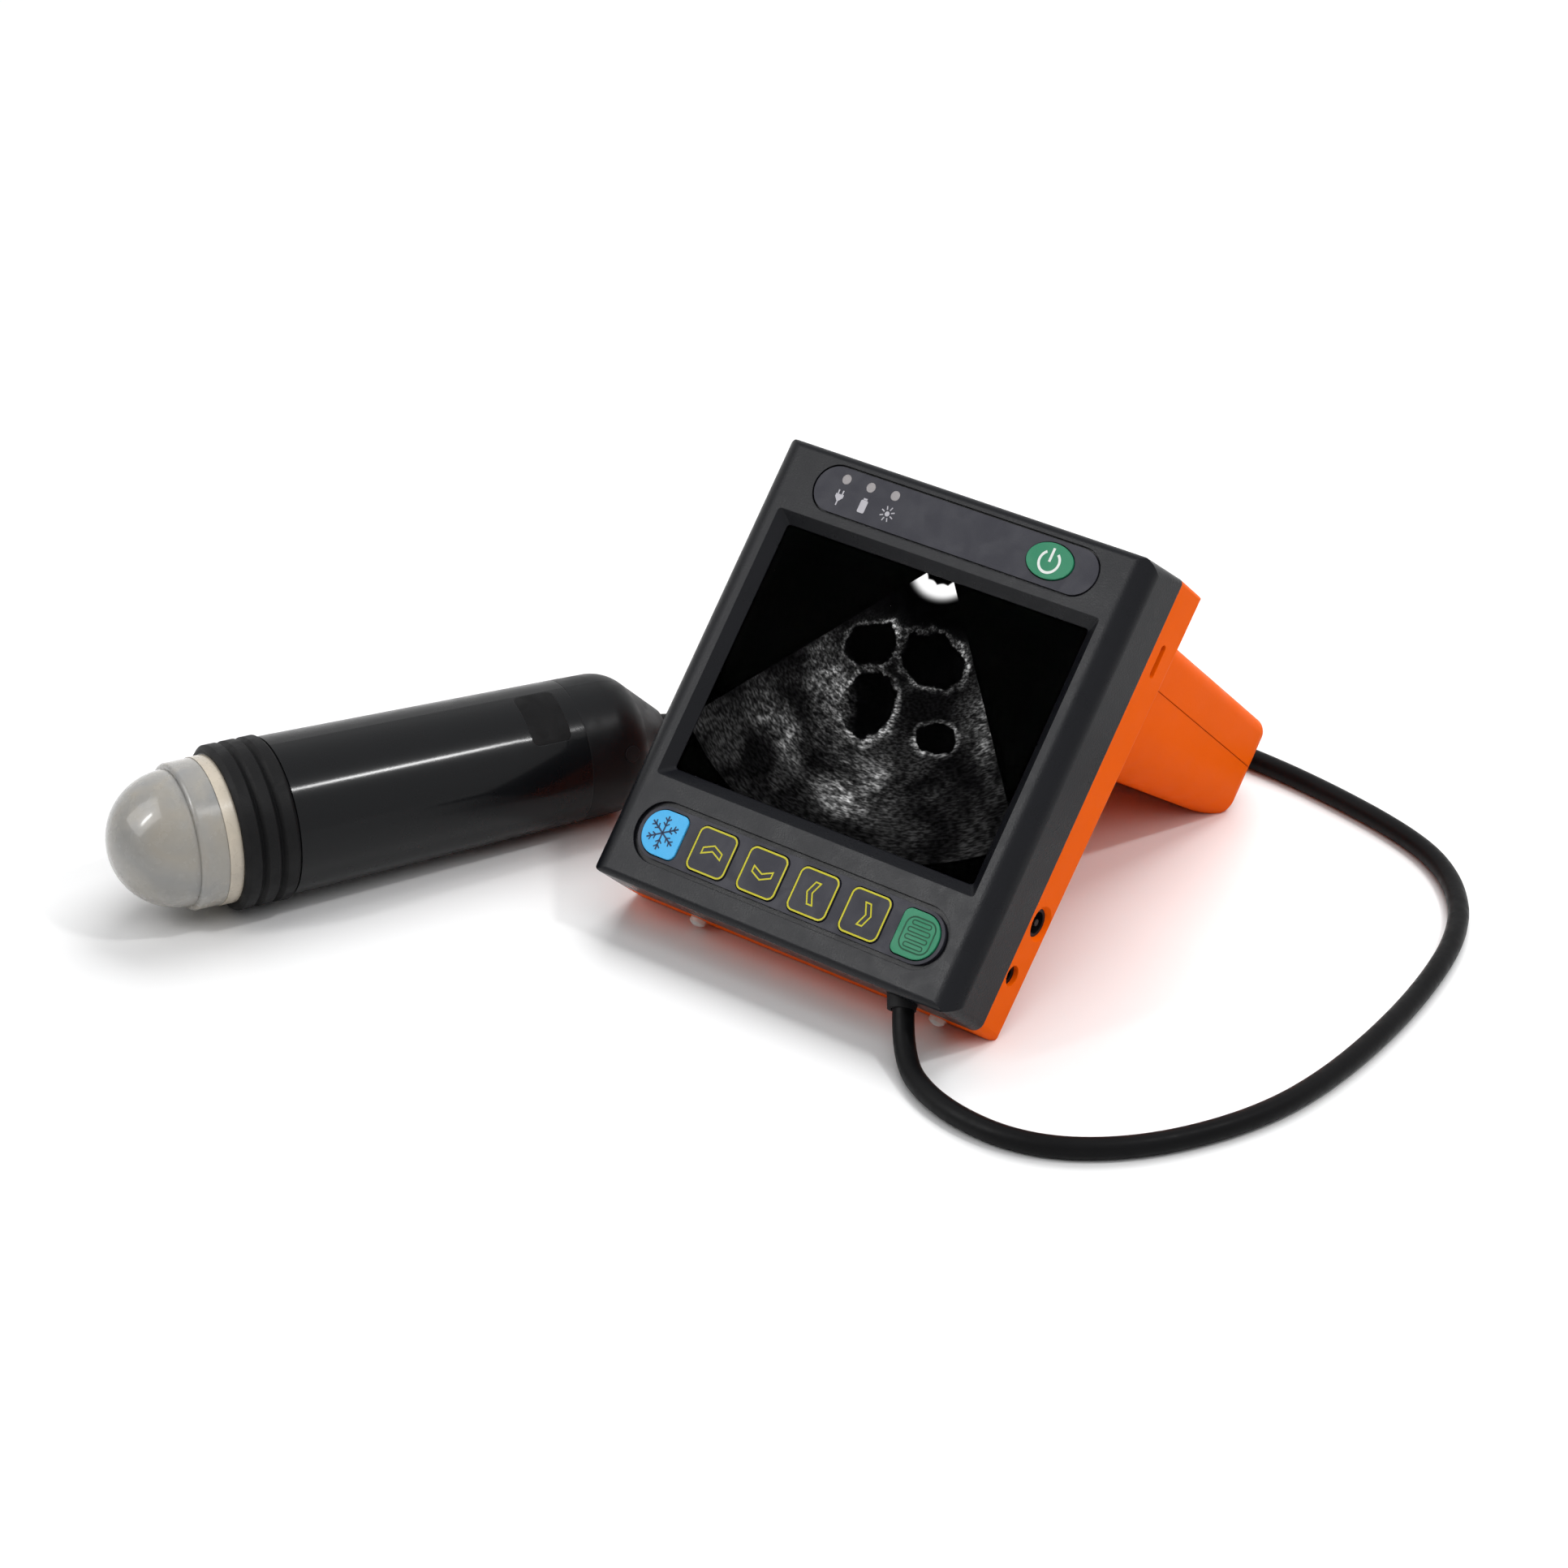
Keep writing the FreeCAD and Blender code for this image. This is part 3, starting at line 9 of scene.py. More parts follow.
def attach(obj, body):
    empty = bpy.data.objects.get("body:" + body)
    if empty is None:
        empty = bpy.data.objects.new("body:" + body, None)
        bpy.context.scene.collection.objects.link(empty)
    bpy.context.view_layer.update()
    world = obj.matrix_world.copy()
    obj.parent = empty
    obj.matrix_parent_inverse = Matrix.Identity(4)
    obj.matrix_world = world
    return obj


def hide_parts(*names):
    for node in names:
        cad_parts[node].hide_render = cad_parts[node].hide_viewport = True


# Looks of a handheld veterinary ultrasound scanner: a leaning console and a sector probe on one cable.
# Objects lie in metres in the CAD model's frame. The console's and the cable's sizes below are in
# millimetres. Console coordinates: x to the right, y up the face, z out of the face.

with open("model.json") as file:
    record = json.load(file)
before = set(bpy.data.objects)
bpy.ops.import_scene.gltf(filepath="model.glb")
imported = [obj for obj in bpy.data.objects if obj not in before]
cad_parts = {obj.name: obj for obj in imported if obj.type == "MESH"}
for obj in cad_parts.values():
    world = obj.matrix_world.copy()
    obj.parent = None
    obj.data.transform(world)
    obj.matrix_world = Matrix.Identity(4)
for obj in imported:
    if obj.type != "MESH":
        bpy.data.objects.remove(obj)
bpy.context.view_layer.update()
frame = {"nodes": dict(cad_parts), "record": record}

MM = 0.001
LEAN = 47.2006            # degrees, from flat to the console's face
CONSOLE = (Matrix.Translation((57.0 * MM, -27.04 * MM, -0.661 * MM))
           @ Matrix.Rotation(math.radians(LEAN), 4, "X"))
CAMERA_PLACE = (0.6775, -0.85645, 0.66468)    # metres, fitted to the console's edges in the photo
CAMERA_FORWARD = (-0.52217, 0.68691, -0.50548)
CAMERA_RIGHT = (0.79473, 0.60695, 0.00383)
CAMERA_LENS = 102.48      # for a sensor 36 mm wide
OBJECT_MIDDLE = (0.02, -0.02, 0.03)           # metres, where the lamps aim
FACE = 30.2               # the console's front, above its back
KEY_TOP = 30.6
LCD_FRONT = 26.0
PANE_TOP = FACE - 3.0
INK_DEPTH, INK_HEIGHT = 0.02, 0.05
SCREEN_Y = 72.2
VIEW = (100.8, 75.2)      # seen picture
KEYPAD_Y = 16.3
KEY_PITCH = 17.3
KEY_FRAME = 12.4
POWER = (32.6, 123.4)
LED_X, LED_Y, LED_PITCH = -37.1, 126.6, 8.3
SIGN_DROP = 5.4           # status signs below the lights
SECTOR_X, SECTOR_Y = 1.0, SCREEN_Y + 43.2     # where the scan's rays meet
SECTOR_EDGE = 0.700       # radians each way, to the scan's sides
SECTOR_REACH = 0.0865     # metres, to the scan's far end
FLOOR_RADIUS = 1.1        # metres
CABLE_RADIUS = 3.0
CABLE = [
    (94.98, -35.48, 19.96), (103.39, -51.18, 3.0), (126.0, -65.5, 3.0), (155.0, -66.5, 3.0),
    (179.0, -49.5, 3.0), (196.0, -19.5, 3.0), (201.5, 12.0, 3.0), (200.0, 55.5, 3.0), (192.0, 94.0, 3.0),
    (176.0, 117.0, 3.0), (154.5, 129.5, 3.0), (112.0, 138.5, 3.0), (76.0, 140.5, 3.0), (44.0, 139.5, 3.0),
    (15.0, 132.0, 3.0), (-8.0, 114.0, 3.0), (-20.0, 86.0, 4.5), (-28.91, 38.02, 19.47),
    (-40.35, 13.57, 20.27),
]


# --- camera and light ---------------------------------------------------------------------------------
def turned_to(forward, right):
    """Rotation of a camera or light that looks along forward, with right as its sideways direction."""
    forward, right = Vector(forward).normalized(), Vector(right).normalized()
    up = right.cross(forward)
    return Matrix((right, up, -forward)).transposed().to_4x4()


def add_camera():
    data = bpy.data.cameras.new("camera")
    data.lens = CAMERA_LENS
    data.sensor_width = 36.0
    data.clip_start = 0.05
    camera = bpy.data.objects.new("camera", data)
    bpy.context.collection.objects.link(camera)
    camera.matrix_world = Matrix.Translation(CAMERA_PLACE) @ turned_to(CAMERA_FORWARD, CAMERA_RIGHT)
    bpy.context.scene.camera = camera


def add_light(name, direction, distance, size, power, target=OBJECT_MIDDLE, along=(0, 0, 1),
              in_gloss=True, on_matt=True):
    """Soft box of the given size, seen from the target in the given direction; its long side lies along.

    in_gloss and on_matt say whether it shows in glossy surfaces and lights matt ones.
    """
    data = bpy.data.lights.new(name, "AREA")
    data.shape = "RECTANGLE"
    data.size, data.size_y = size
    data.energy = power
    light = bpy.data.objects.new(name, data)
    light.visible_glossy = in_gloss
    light.visible_diffuse = on_matt
    bpy.context.collection.objects.link(light)
    direction = Vector(direction).normalized()
    side = Vector(along)
    side = (side - direction * side.dot(direction)).normalized()
    light.matrix_world = (Matrix.Translation(Vector(target) + direction * distance)
                          @ turned_to(-direction, side))


def add_world():
    """White background for the camera, gloss and glass, and dim light that is brighter overhead."""
    world = bpy.data.worlds.new("world")
    bpy.context.scene.world = world
    world.use_nodes = True
    tree = world.node_tree
    tree.nodes.clear()
    output = tree.nodes.new("ShaderNodeOutputWorld")
    mix = tree.nodes.new("ShaderNodeMixShader")
    path = tree.nodes.new("ShaderNodeLightPath")
    room = tree.nodes.new("ShaderNodeBackground")
    backdrop = tree.nodes.new("ShaderNodeBackground")
    direction = tree.nodes.new("ShaderNodeTexCoord")
    split = tree.nodes.new("ShaderNodeSeparateXYZ")
    level = tree.nodes.new("ShaderNodeMapRange")
    for key, number in (("From Min", 0.3), ("From Max", 1.0), ("To Min", 0.1), ("To Max", 0.25)):
        level.inputs[key].default_value = number
    tree.links.new(direction.outputs["Generated"], split.inputs[0])
    tree.links.new(split.outputs["Z"], level.inputs["Value"])
    tree.links.new(level.outputs["Result"], room.inputs["Strength"])
    room.inputs["Color"].default_value = (0.95, 0.97, 1.0, 1)
    backdrop.inputs["Color"].default_value = (1, 1, 1, 1)
    backdrop.inputs["Strength"].default_value = 1.0
    seen = path.outputs["Is Camera Ray"]
    for ray in ("Is Glossy Ray", "Is Transmission Ray"):
        either = tree.nodes.new("ShaderNodeMath")
        either.operation = "MAXIMUM"
        tree.links.new(seen, either.inputs[0])
        tree.links.new(path.outputs[ray], either.inputs[1])
        seen = either.outputs[0]
    tree.links.new(seen, mix.inputs["Fac"])
    tree.links.new(room.outputs[0], mix.inputs[1])
    tree.links.new(backdrop.outputs[0], mix.inputs[2])
    tree.links.new(mix.outputs[0], output.inputs["Surface"])


def add_studio():
    bpy.context.scene.view_settings.view_transform = "Standard"
    add_world()
    add_light("overhead_box", (-0.1, 0.65, 1.0), 1.5, (1.4, 1.1), 21.0, along=(1, 0, 0), in_gloss=False)
    add_light("side_box", (1.0, 0.1, 0.9), 1.5, (1.0, 0.9), 3.5, in_gloss=False)
    add_light("front_box", (0.25, -0.45, 1.0), 1.5, (1.4, 1.0), 7.5, along=(1, 0, 0), in_gloss=False)
    add_light("face_box", (-0.52, -0.56, 0.65), 1.5, (1.3, 1.1), 10.5, (0.06, -0.05, 0.05), on_matt=False)
    add_light("probe_strip", (0.564, 0.176, 0.809), 1.4, (0.15, 0.06), 4.0, (-0.0575, -0.0583, 0.0388),
              (0.424, 0.906, 0))
    add_light("front_strip", (-0.332, -0.629, 0.699), 1.3, (0.5, 0.1), 3.0, (-0.0996, -0.1132, 0.0244))


# --- materials ----------------------------------------------------------------------------------------
def colour(red, green, blue):
    """Scene-linear colour from display values of 0 to 255."""
    shares = [value / 255 for value in (red, green, blue)]
    return tuple(s / 12.92 if s <= 0.04045 else ((s + 0.055) / 1.055) ** 2.4 for s in shares) + (1.0,)


def shade(rgba, factor):
    return tuple(min(1.0, c * factor) for c in rgba[:3]) + (1.0,)


class Surface:
    """Material on a Principled shader, with helpers for the nodes that feed it."""

    def __init__(self, name, **values):
        self.material = bpy.data.materials.new(name)
        self.material.use_nodes = True
        self.tree = self.material.node_tree
        self.shader = self.tree.nodes["Principled BSDF"]
        self.place = self.node("ShaderNodeTexCoord").outputs["Object"]
        for socket, value in values.items():
            self.shader.inputs[socket.replace("_", " ")].default_value = value

    def node(self, kind, **values):
        node = self.tree.nodes.new(kind)
        for key, value in values.items():
            setattr(node, key, value)
        return node

    def feed(self, value, socket):
        if isinstance(value, (int, float, tuple)):
            socket.default_value = value
        else:
            self.tree.links.new(value, socket)

    def maths(self, operation, *values):
        node = self.node("ShaderNodeMath", operation=operation)
        for value, socket in zip(values, node.inputs):
            self.feed(value, socket)
        return node.outputs[0]

    def mapped(self, scale=(1, 1, 1), location=(0, 0, 0), rotation=(0, 0, 0), kind="POINT"):
        node = self.node("ShaderNodeMapping", vector_type=kind)
        self.feed(self.place, node.inputs["Vector"])
        for key, value in (("Location", location), ("Rotation", rotation), ("Scale", scale)):
            node.inputs[key].default_value = value
        return node.outputs[0]

    def noise(self, scale, detail=3.0, place=None, distortion=0.0):
        node = self.node("ShaderNodeTexNoise")
        self.feed(place or self.place, node.inputs["Vector"])
        node.inputs["Scale"].default_value = scale
        node.inputs["Detail"].default_value = detail
        node.inputs["Distortion"].default_value = distortion
        return node.outputs["Fac"]

    def ramp(self, value, *stops):
        """Colours or greys along a value: each stop is (position, colour)."""
        node = self.node("ShaderNodeValToRGB")
        elements = node.color_ramp.elements
        while len(elements) < len(stops):
            elements.new(0.5)
        for element, (position, rgba) in zip(elements, stops):
            element.position = position
            element.color = rgba if isinstance(rgba, tuple) else (rgba, rgba, rgba, 1)
        self.feed(value, node.inputs["Fac"])
        return node.outputs["Color"]

    def spread(self, value, low, high, start=0.3, end=0.7):
        node = self.node("ShaderNodeMapRange", interpolation_type="SMOOTHSTEP")
        for key, number in (("From Min", start), ("From Max", end), ("To Min", low), ("To Max", high)):
            node.inputs[key].default_value = number
        self.feed(value, node.inputs["Value"])
        return node.outputs["Result"]

    def paint(self, value):
        self.feed(value, self.shader.inputs["Base Color"])

    def rough(self, value):
        self.feed(value, self.shader.inputs["Roughness"])

    def bump(self, height, distance, edge=None):
        """Fine relief from a height, on corners softened by a small radius."""
        node = self.node("ShaderNodeBump")
        node.inputs["Distance"].default_value = distance
        self.feed(height, node.inputs["Height"])
        if edge:
            corner = self.node("ShaderNodeBevel", samples=4)
            corner.inputs["Radius"].default_value = edge
            self.feed(corner.outputs[0], node.inputs["Normal"])
        self.feed(node.outputs[0], self.shader.inputs["Normal"])


def moulded(name, rgba, roughness, spread=0.05, blotch=25.0, height=0.00003, edge=0.0003, **values):
    """Moulded plastic, rubber or ink: cloudy colour, handling marks in the gloss, and fine grain."""
    surface = Surface(name, **values)
    cloud = surface.noise(blotch, 5.0)
    surface.paint(surface.ramp(cloud, (0.3, shade(rgba, 1 - spread)), (0.7, shade(rgba, 1 + spread))))
    marks = surface.noise(blotch * 6, 6.0, distortion=0.6)
    surface.rough(surface.spread(marks, roughness * 0.86, min(1.0, roughness * 1.14)))
    surface.bump(surface.noise(2200.0, 2.0), height, edge)
    return surface.material


def brushed(name, rgba, roughness):
    """Metal with fine marks along one direction."""
    surface = Surface(name, Metallic=1.0)
    lines = surface.noise(900.0, 2.0, surface.mapped(scale=(1, 0.04, 1)))
    surface.paint(surface.ramp(lines, (0.3, shade(rgba, 0.85)), (0.7, shade(rgba, 1.1))))
    surface.rough(surface.spread(lines, roughness * 0.8, roughness * 1.3))
    surface.bump(lines, 0.00002, 0.0002)
    return surface.material


def circuit(name):
    """Green board with fine copper tracks under the lacquer."""
    surface = Surface(name, Coat_Weight=0.3)
    lines = surface.noise(260.0, 0.0, surface.mapped(scale=(1, 0.2, 0.2)))
    surface.paint(surface.ramp(lines, (0.48, (0.01, 0.09, 0.03, 1)), (0.5, (0.03, 0.17, 0.06, 1)),
                               (0.56, (0.01, 0.08, 0.03, 1))))
    surface.rough(surface.spread(lines, 0.3, 0.5))
    surface.bump(lines, 0.00002)
    return surface.material


def milky_dome(name):
    """Cloudy translucent plastic, warmer towards the inside parts."""
    surface = Surface(name, Subsurface_Weight=0.35, Coat_Weight=0.6, Coat_Roughness=0.06, IOR=1.45)
    surface.shader.inputs["Subsurface Radius"].default_value = (1.0, 0.9, 0.8)
    surface.shader.inputs["Subsurface Scale"].default_value = 0.004
    cloud = surface.noise(55.0, 2.0, distortion=0.8)
    surface.paint(surface.ramp(cloud, (0.25, colour(130, 130, 129)), (0.5, colour(144, 141, 135)),
                               (0.8, colour(154, 145, 130))))
    surface.rough(surface.spread(surface.noise(300.0), 0.2, 0.3))
    surface.bump(surface.noise(1500.0, 2.0), 0.00001, 0.0004)
    return surface.material


def rubber_cable(name):
    """Black cable jacket with faint ripples along its length."""
    surface = Surface(name, Specular_IOR_Level=0.08)
    cloud = surface.noise(40.0, 4.0)
    surface.paint(surface.ramp(cloud, (0.3, colour(10, 10, 11)), (0.7, colour(16, 16, 17))))
    surface.rough(surface.spread(surface.noise(350.0, 3.0), 0.36, 0.5))
    surface.bump(surface.noise(900.0, 2.0), 0.00003)
    return surface.material


def clear_pane(name):
    """Clear window that bends and mirrors almost nothing."""
    surface = Surface(name, Transmission_Weight=1.0, IOR=1.001)
    surface.shader.inputs["Base Color"].default_value = (1, 1, 1, 1)
    surface.rough(surface.spread(surface.noise(60.0), 0.0, 0.004))
    return surface.material


def all_materials():
    """Materials by slot, and two by node, which go before their slot's."""
    return {
        "bezel_plastic": moulded("bezel_plastic", colour(15, 16, 20), 0.3, height=0.00005,
                                 Specular_IOR_Level=0.16),
        "orange_plastic": moulded("orange_plastic", colour(236, 94, 3), 0.42, 0.03, height=0.00005,
                                  Specular_IOR_Level=0.02),
        "overlay_film": moulded("overlay_film", colour(44, 44, 51), 0.5, height=0.00004, edge=0.0002,
                                Specular_IOR_Level=0.2),
        "key_blue": moulded("key_blue", colour(72, 176, 232), 0.42, 0.03, edge=0.0004,
                            Specular_IOR_Level=0.2),
        "key_dark": moulded("key_dark", colour(44, 44, 51), 0.5, 0.03, edge=0.0004, Specular_IOR_Level=0.2),
        "key_green": moulded("key_green", colour(36, 122, 88), 0.42, 0.04, edge=0.0004,
                             Specular_IOR_Level=0.2),
        "display": moulded("display", colour(6, 6, 8), 0.2, Specular_IOR_Level=0.0),
        "clear_window": clear_pane("clear_window"),
        "led_lens": moulded("led_lens", colour(128, 123, 124), 0.3, 0.08, blotch=900.0),
        "circuit_board": circuit("circuit_board"),
        "steel": brushed("steel", (0.55, 0.55, 0.56, 1), 0.3),
        "brass": brushed("brass", (0.66, 0.44, 0.16, 1), 0.3),
        "black_plastic": moulded("black_plastic", colour(16, 16, 18), 0.45, Specular_IOR_Level=0.15),
        "gloss_black": moulded("gloss_black", colour(12, 13, 15), 0.3, height=0.000006, edge=0.0005,
                               Coat_Weight=0.25, Coat_Roughness=0.12, Specular_IOR_Level=0.06),
        "probe_tail_cap": moulded("satin_black", colour(12, 13, 15), 0.42, height=0.00001, edge=0.0005,
                                  Specular_IOR_Level=0.15),
        "label_plate": moulded("label_film", colour(6, 6, 7), 0.6, edge=0.0003, Specular_IOR_Level=0.15),
        "black_rubber": moulded("black_rubber", colour(14, 14, 15), 0.55, height=0.00006, edge=0.0004,
                                Specular_IOR_Level=0.15),
        "pale_plastic": moulded("pale_plastic", colour(214, 210, 204), 0.45),
        "dome_plastic": milky_dome("dome_plastic"),
        "cream_plastic": moulded("cream_plastic", colour(178, 168, 152), 0.3, 0.12, blotch=120.0,
                                 Coat_Weight=0.5),
        "battery_wrap": moulded("battery_wrap", colour(40, 90, 160), 0.3),
        "ceramic_disc": moulded("ceramic_disc", colour(200, 196, 186), 0.6),
        "cable_jacket": rubber_cable("cable_jacket"),
    }


def dress_frame(made):
    for part in frame["record"]["subparts"]:
        for slot in frame["nodes"][part["node"]].material_slots:
            slot.material = made.get(part["node"], made[part["material_slot"]])


# --- making pieces ------------------------------------------------------------------------------------
def add_mesh(name, bm, placement, material, body):
    bmesh.ops.recalc_face_normals(bm, faces=bm.faces)
    mesh = bpy.data.meshes.new(name)
    bm.to_mesh(mesh)
    bm.free()
    mesh.materials.append(material)
    piece = bpy.data.objects.new(name, mesh)
    bpy.context.collection.objects.link(piece)
    piece.matrix_world = placement
    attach(piece, body)
    return piece


def arc(x, y, radius, start, end, steps):
    """Points along an arc, with the angles in degrees."""
    angles = [math.radians(start + (end - start) * i / steps) for i in range(steps + 1)]
    return [(x + radius * math.cos(a), y + radius * math.sin(a)) for a in angles]


def rounded(width, height, radius, x, y, steps=6):
    """Outline of a rectangle with round corners, with its middle at x and y."""
    points = []
    for i, (sx, sy) in enumerate(((1, 1), (-1, 1), (-1, -1), (1, -1))):
        corner = (x + sx * (width / 2 - radius), y + sy * (height / 2 - radius))
        points += arc(*corner, radius, 90 * i, 90 * (i + 1), steps)
    return points


def ribbon(bm, points, width, low, high, closed=False):
    """Flat line of ink: a strip of the given width along the points, between two heights. Millimetres."""
    count = len(points)
    sides = []
    for i, point in enumerate(points):
        here = Vector(point)
        before = here - Vector(points[i - 1]) if closed or i else Vector((0, 0))
        after = Vector(points[(i + 1) % count]) - here if closed or i < count - 1 else Vector((0, 0))
        before = before.normalized() if before.length > 1e-9 else after.normalized()
        after = after.normalized() if after.length > 1e-9 else before
        along = (before + after).normalized()
        across = Vector((-along.y, along.x))
        reach = width / 2 / max(0.35, across.dot(Vector((-after.y, after.x))))
        sides.append((here + across * reach, here - across * reach))
    rows = []
    for left, right in sides:
        corners = [(left, low), (left, high), (right, high), (right, low)]
        rows.append([bm.verts.new((p.x * MM, p.y * MM, z * MM)) for p, z in corners])
    spans = range(count if closed else count - 1)
    for i in spans:
        row, following = rows[i], rows[(i + 1) % count]
        for j in range(4):
            bm.faces.new((row[j], row[(j + 1) % 4], following[(j + 1) % 4], following[j]))
    if not closed:
        bm.faces.new(rows[0])
        bm.faces.new(rows[-1])


def patch(bm, points, low, high):
    """Flat filled shape between two heights. Millimetres."""
    top = [bm.verts.new((x * MM, y * MM, high * MM)) for x, y in points]
    bottom = [bm.verts.new((x * MM, y * MM, low * MM)) for x, y in points]
    bm.faces.new(top)
    bm.faces.new(bottom)
    for i in range(len(points)):
        j = (i + 1) % len(points)
        bm.faces.new((top[i], top[j], bottom[j], bottom[i]))


# --- display ------------------------------------------------------------------------------------------
def oval_distance(surface, x, y, width, height, turn):
    """Distance from an oval's middle on the screen, 1 at its rim. Millimetres and degrees."""
    oval = surface.node("ShaderNodeVectorMath", operation="LENGTH")
    surface.feed(surface.mapped((width * MM, height * MM, 1.0), (x * MM, (SCREEN_Y + y) * MM, 0),
                                (0, 0, math.radians(turn)), "TEXTURE"), oval.inputs[0])
    return oval.outputs["Value"]


def sector_picture(name):
    """Generic ultrasound sector: a bright near field, dark cysts with bright walls, and grainy echoes.

    Depths are in metres and angles in radians, from where the scan's rays meet.
    """
    surface = Surface(name, Emission_Strength=1.0, Specular_IOR_Level=0.0, Roughness=0.3)
    maths, spread = surface.maths, surface.spread
    split = surface.node("ShaderNodeSeparateXYZ")
    surface.feed(surface.mapped(location=(-SECTOR_X * MM, -SECTOR_Y * MM, 0)), split.inputs[0])
    across = split.outputs["X"]
    down = maths("MULTIPLY", split.outputs["Y"], -1.0)
    depth = maths("SQRT", maths("ADD", maths("MULTIPLY", across, across), maths("MULTIPLY", down, down)))
    angle = maths("ARCTAN2", across, down)
    inside = maths("MULTIPLY", spread(maths("ABSOLUTE", angle), 1, 0, SECTOR_EDGE, SECTOR_EDGE + 0.004),
                   spread(depth, 1, 0, SECTOR_REACH, SECTOR_REACH + 0.0003))

    # The grain is drawn over depth and angle, so that it follows the scan's arcs.
    polar = surface.node("ShaderNodeCombineXYZ")
    surface.feed(depth, polar.inputs["X"])
    surface.feed(maths("MULTIPLY", angle, 0.022), polar.inputs["Y"])
    speckle = spread(surface.noise(1700.0, 1.0, polar.outputs[0]), 0.0, 1.0, 0.3, 0.7)
    streaks = spread(surface.noise(800.0, 2.0, polar.outputs[0]), 0.0, 1.0, 0.35, 0.65)
    clouds = spread(surface.noise(75.0, 5.0, distortion=0.4), 0.0, 1.0, 0.38, 0.66)
    wobble = maths("MULTIPLY", maths("SUBTRACT", surface.noise(170.0, 5.0), 0.5), 0.9)

    walls, hollow = 0.0, 1.0
    for cyst in ((-10.0, 14.0, 9.0, 6.5, 20), (9.5, 15.5, 11.5, 8.0, -12), (-3.5, -2.5, 9.0, 10.5, 35),
                 (20.5, -4.5, 6.5, 5.0, 10)):
        edge = maths("ADD", oval_distance(surface, *cyst), wobble)
        hollow = maths("MULTIPLY", hollow, spread(edge, 0.2, 1.0, 0.85, 1.0))
        wall = maths("MULTIPLY", spread(edge, 0, 1, 0.86, 0.95), spread(edge, 1, 0, 0.98, 1.2))
        walls = maths("MAXIMUM", walls, wall)
    echoes = 0.0
    for place in ((-30.0, -14.0, 17.0, 7.0, -32), (-15.0, -4.0, 7.0, 22.0, 30), (4.0, -26.0, 14.0, 11.0, 10),
                  (35.0, 1.0, 7.0, 12.0, 25)):
        middle = spread(maths("ADD", oval_distance(surface, *place), wobble), 1.0, 0.0, 0.2, 1.3)
        echoes = maths("MAXIMUM", echoes, middle)

    scallop = maths("MULTIPLY", maths("ABSOLUTE", maths("SINE", maths("MULTIPLY", angle, 7.0))), 0.0006)
    cap = maths("MULTIPLY", spread(depth, 1.0, 0.0, 0.0100, 0.0134),
                spread(maths("ADD", depth, scallop), 0.0, 1.0, 0.0072, 0.0078))
    shadow = spread(depth, 0.1, 1.0, 0.0150, 0.0290)
    level = maths("MULTIPLY", maths("MULTIPLY_ADD", clouds, 0.11, 0.07), maths("MULTIPLY", hollow, shadow))
    bright = maths("MULTIPLY", maths("MAXIMUM", maths("MULTIPLY", echoes, shadow), walls),
                   maths("MULTIPLY_ADD", streaks, 0.42, 0.16))
    level = maths("ADD", level, maths("MULTIPLY", bright, maths("MULTIPLY_ADD", clouds, 0.6, 0.4)))
    level = maths("MULTIPLY", level, maths("MULTIPLY_ADD", speckle, 0.75, 0.5))
    level = maths("MULTIPLY", maths("MAXIMUM", level, cap), inside)
    surface.feed(maths("POWER", level, 2.2), surface.shader.inputs["Emission Color"])
    surface.feed((0.0005, 0.0005, 0.0006, 1), surface.shader.inputs["Base Color"])
    return surface.material


def add_display(made):
    bm = bmesh.new()
    patch(bm, rounded(VIEW[0] + 2.0, VIEW[1] + 2.0, 0.6, 0, SCREEN_Y), LCD_FRONT + 0.02, LCD_FRONT + 0.06)
    add_mesh("display_picture", bm, CONSOLE, sector_picture("display_picture"), "scanner")
    bm = bmesh.new()
    patch(bm, rounded(VIEW[0] + 2.8, VIEW[1] + 2.8, 1.0, 0, SCREEN_Y), LCD_FRONT + 0.2, PANE_TOP)
    pane = add_mesh("screen_glass", bm, CONSOLE, made["clear_window"], "scanner")
    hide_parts("screen_window")


# --- printed marks ------------------------------------------------------------------------------------
def inks():
    colours = {"ink_yellow": (196, 188, 40), "ink_navy": (28, 52, 84), "ink_forest": (12, 66, 44),
               "ink_white": (226, 230, 226), "ink_grey": (180, 178, 184)}
    return {name: moulded(name, colour(*rgb), 0.5, 0.05, edge=None, Specular_IOR_Level=0.2)
            for name, rgb in colours.items()}


def key_x(index):
    return (index - 2.5) * KEY_PITCH


def snowflake(bm, x, y, low, high):
    for arm in range(6):
        turn = math.radians(60 * arm + 30)
        along = Vector((math.cos(turn), math.sin(turn)))
        ribbon(bm, [(x, y), (x + 5.0 * along.x, y + 5.0 * along.y)], 0.5, low, high)
        for reach, length in ((2.1, 1.3), (3.5, 1.3)):
            for side in (-1, 1):
                tip = Matrix.Rotation(side * math.radians(50), 2) @ along * length
                root = along * reach
                ends = [(x + root.x, y + root.y), (x + root.x + tip.x, y + root.y + tip.y)]
                ribbon(bm, ends, 0.4, low, high)


def chevron(bm, x, y, turn, low, high):
    """Outlined arrowhead."""
    half, drop, thick = 3.2, 1.15, 0.85
    points = [(-half, -drop), (0, drop - thick), (half, -drop), (half, -drop + 2 * thick), (0, drop + thick),
              (-half, -drop + 2 * thick)]
    rotation = Matrix.Rotation(math.radians(turn), 2)
    placed = [rotation @ Vector(p) + Vector((x, y)) for p in points]
    ribbon(bm, [tuple(p) for p in placed], 0.42, low, high, closed=True)


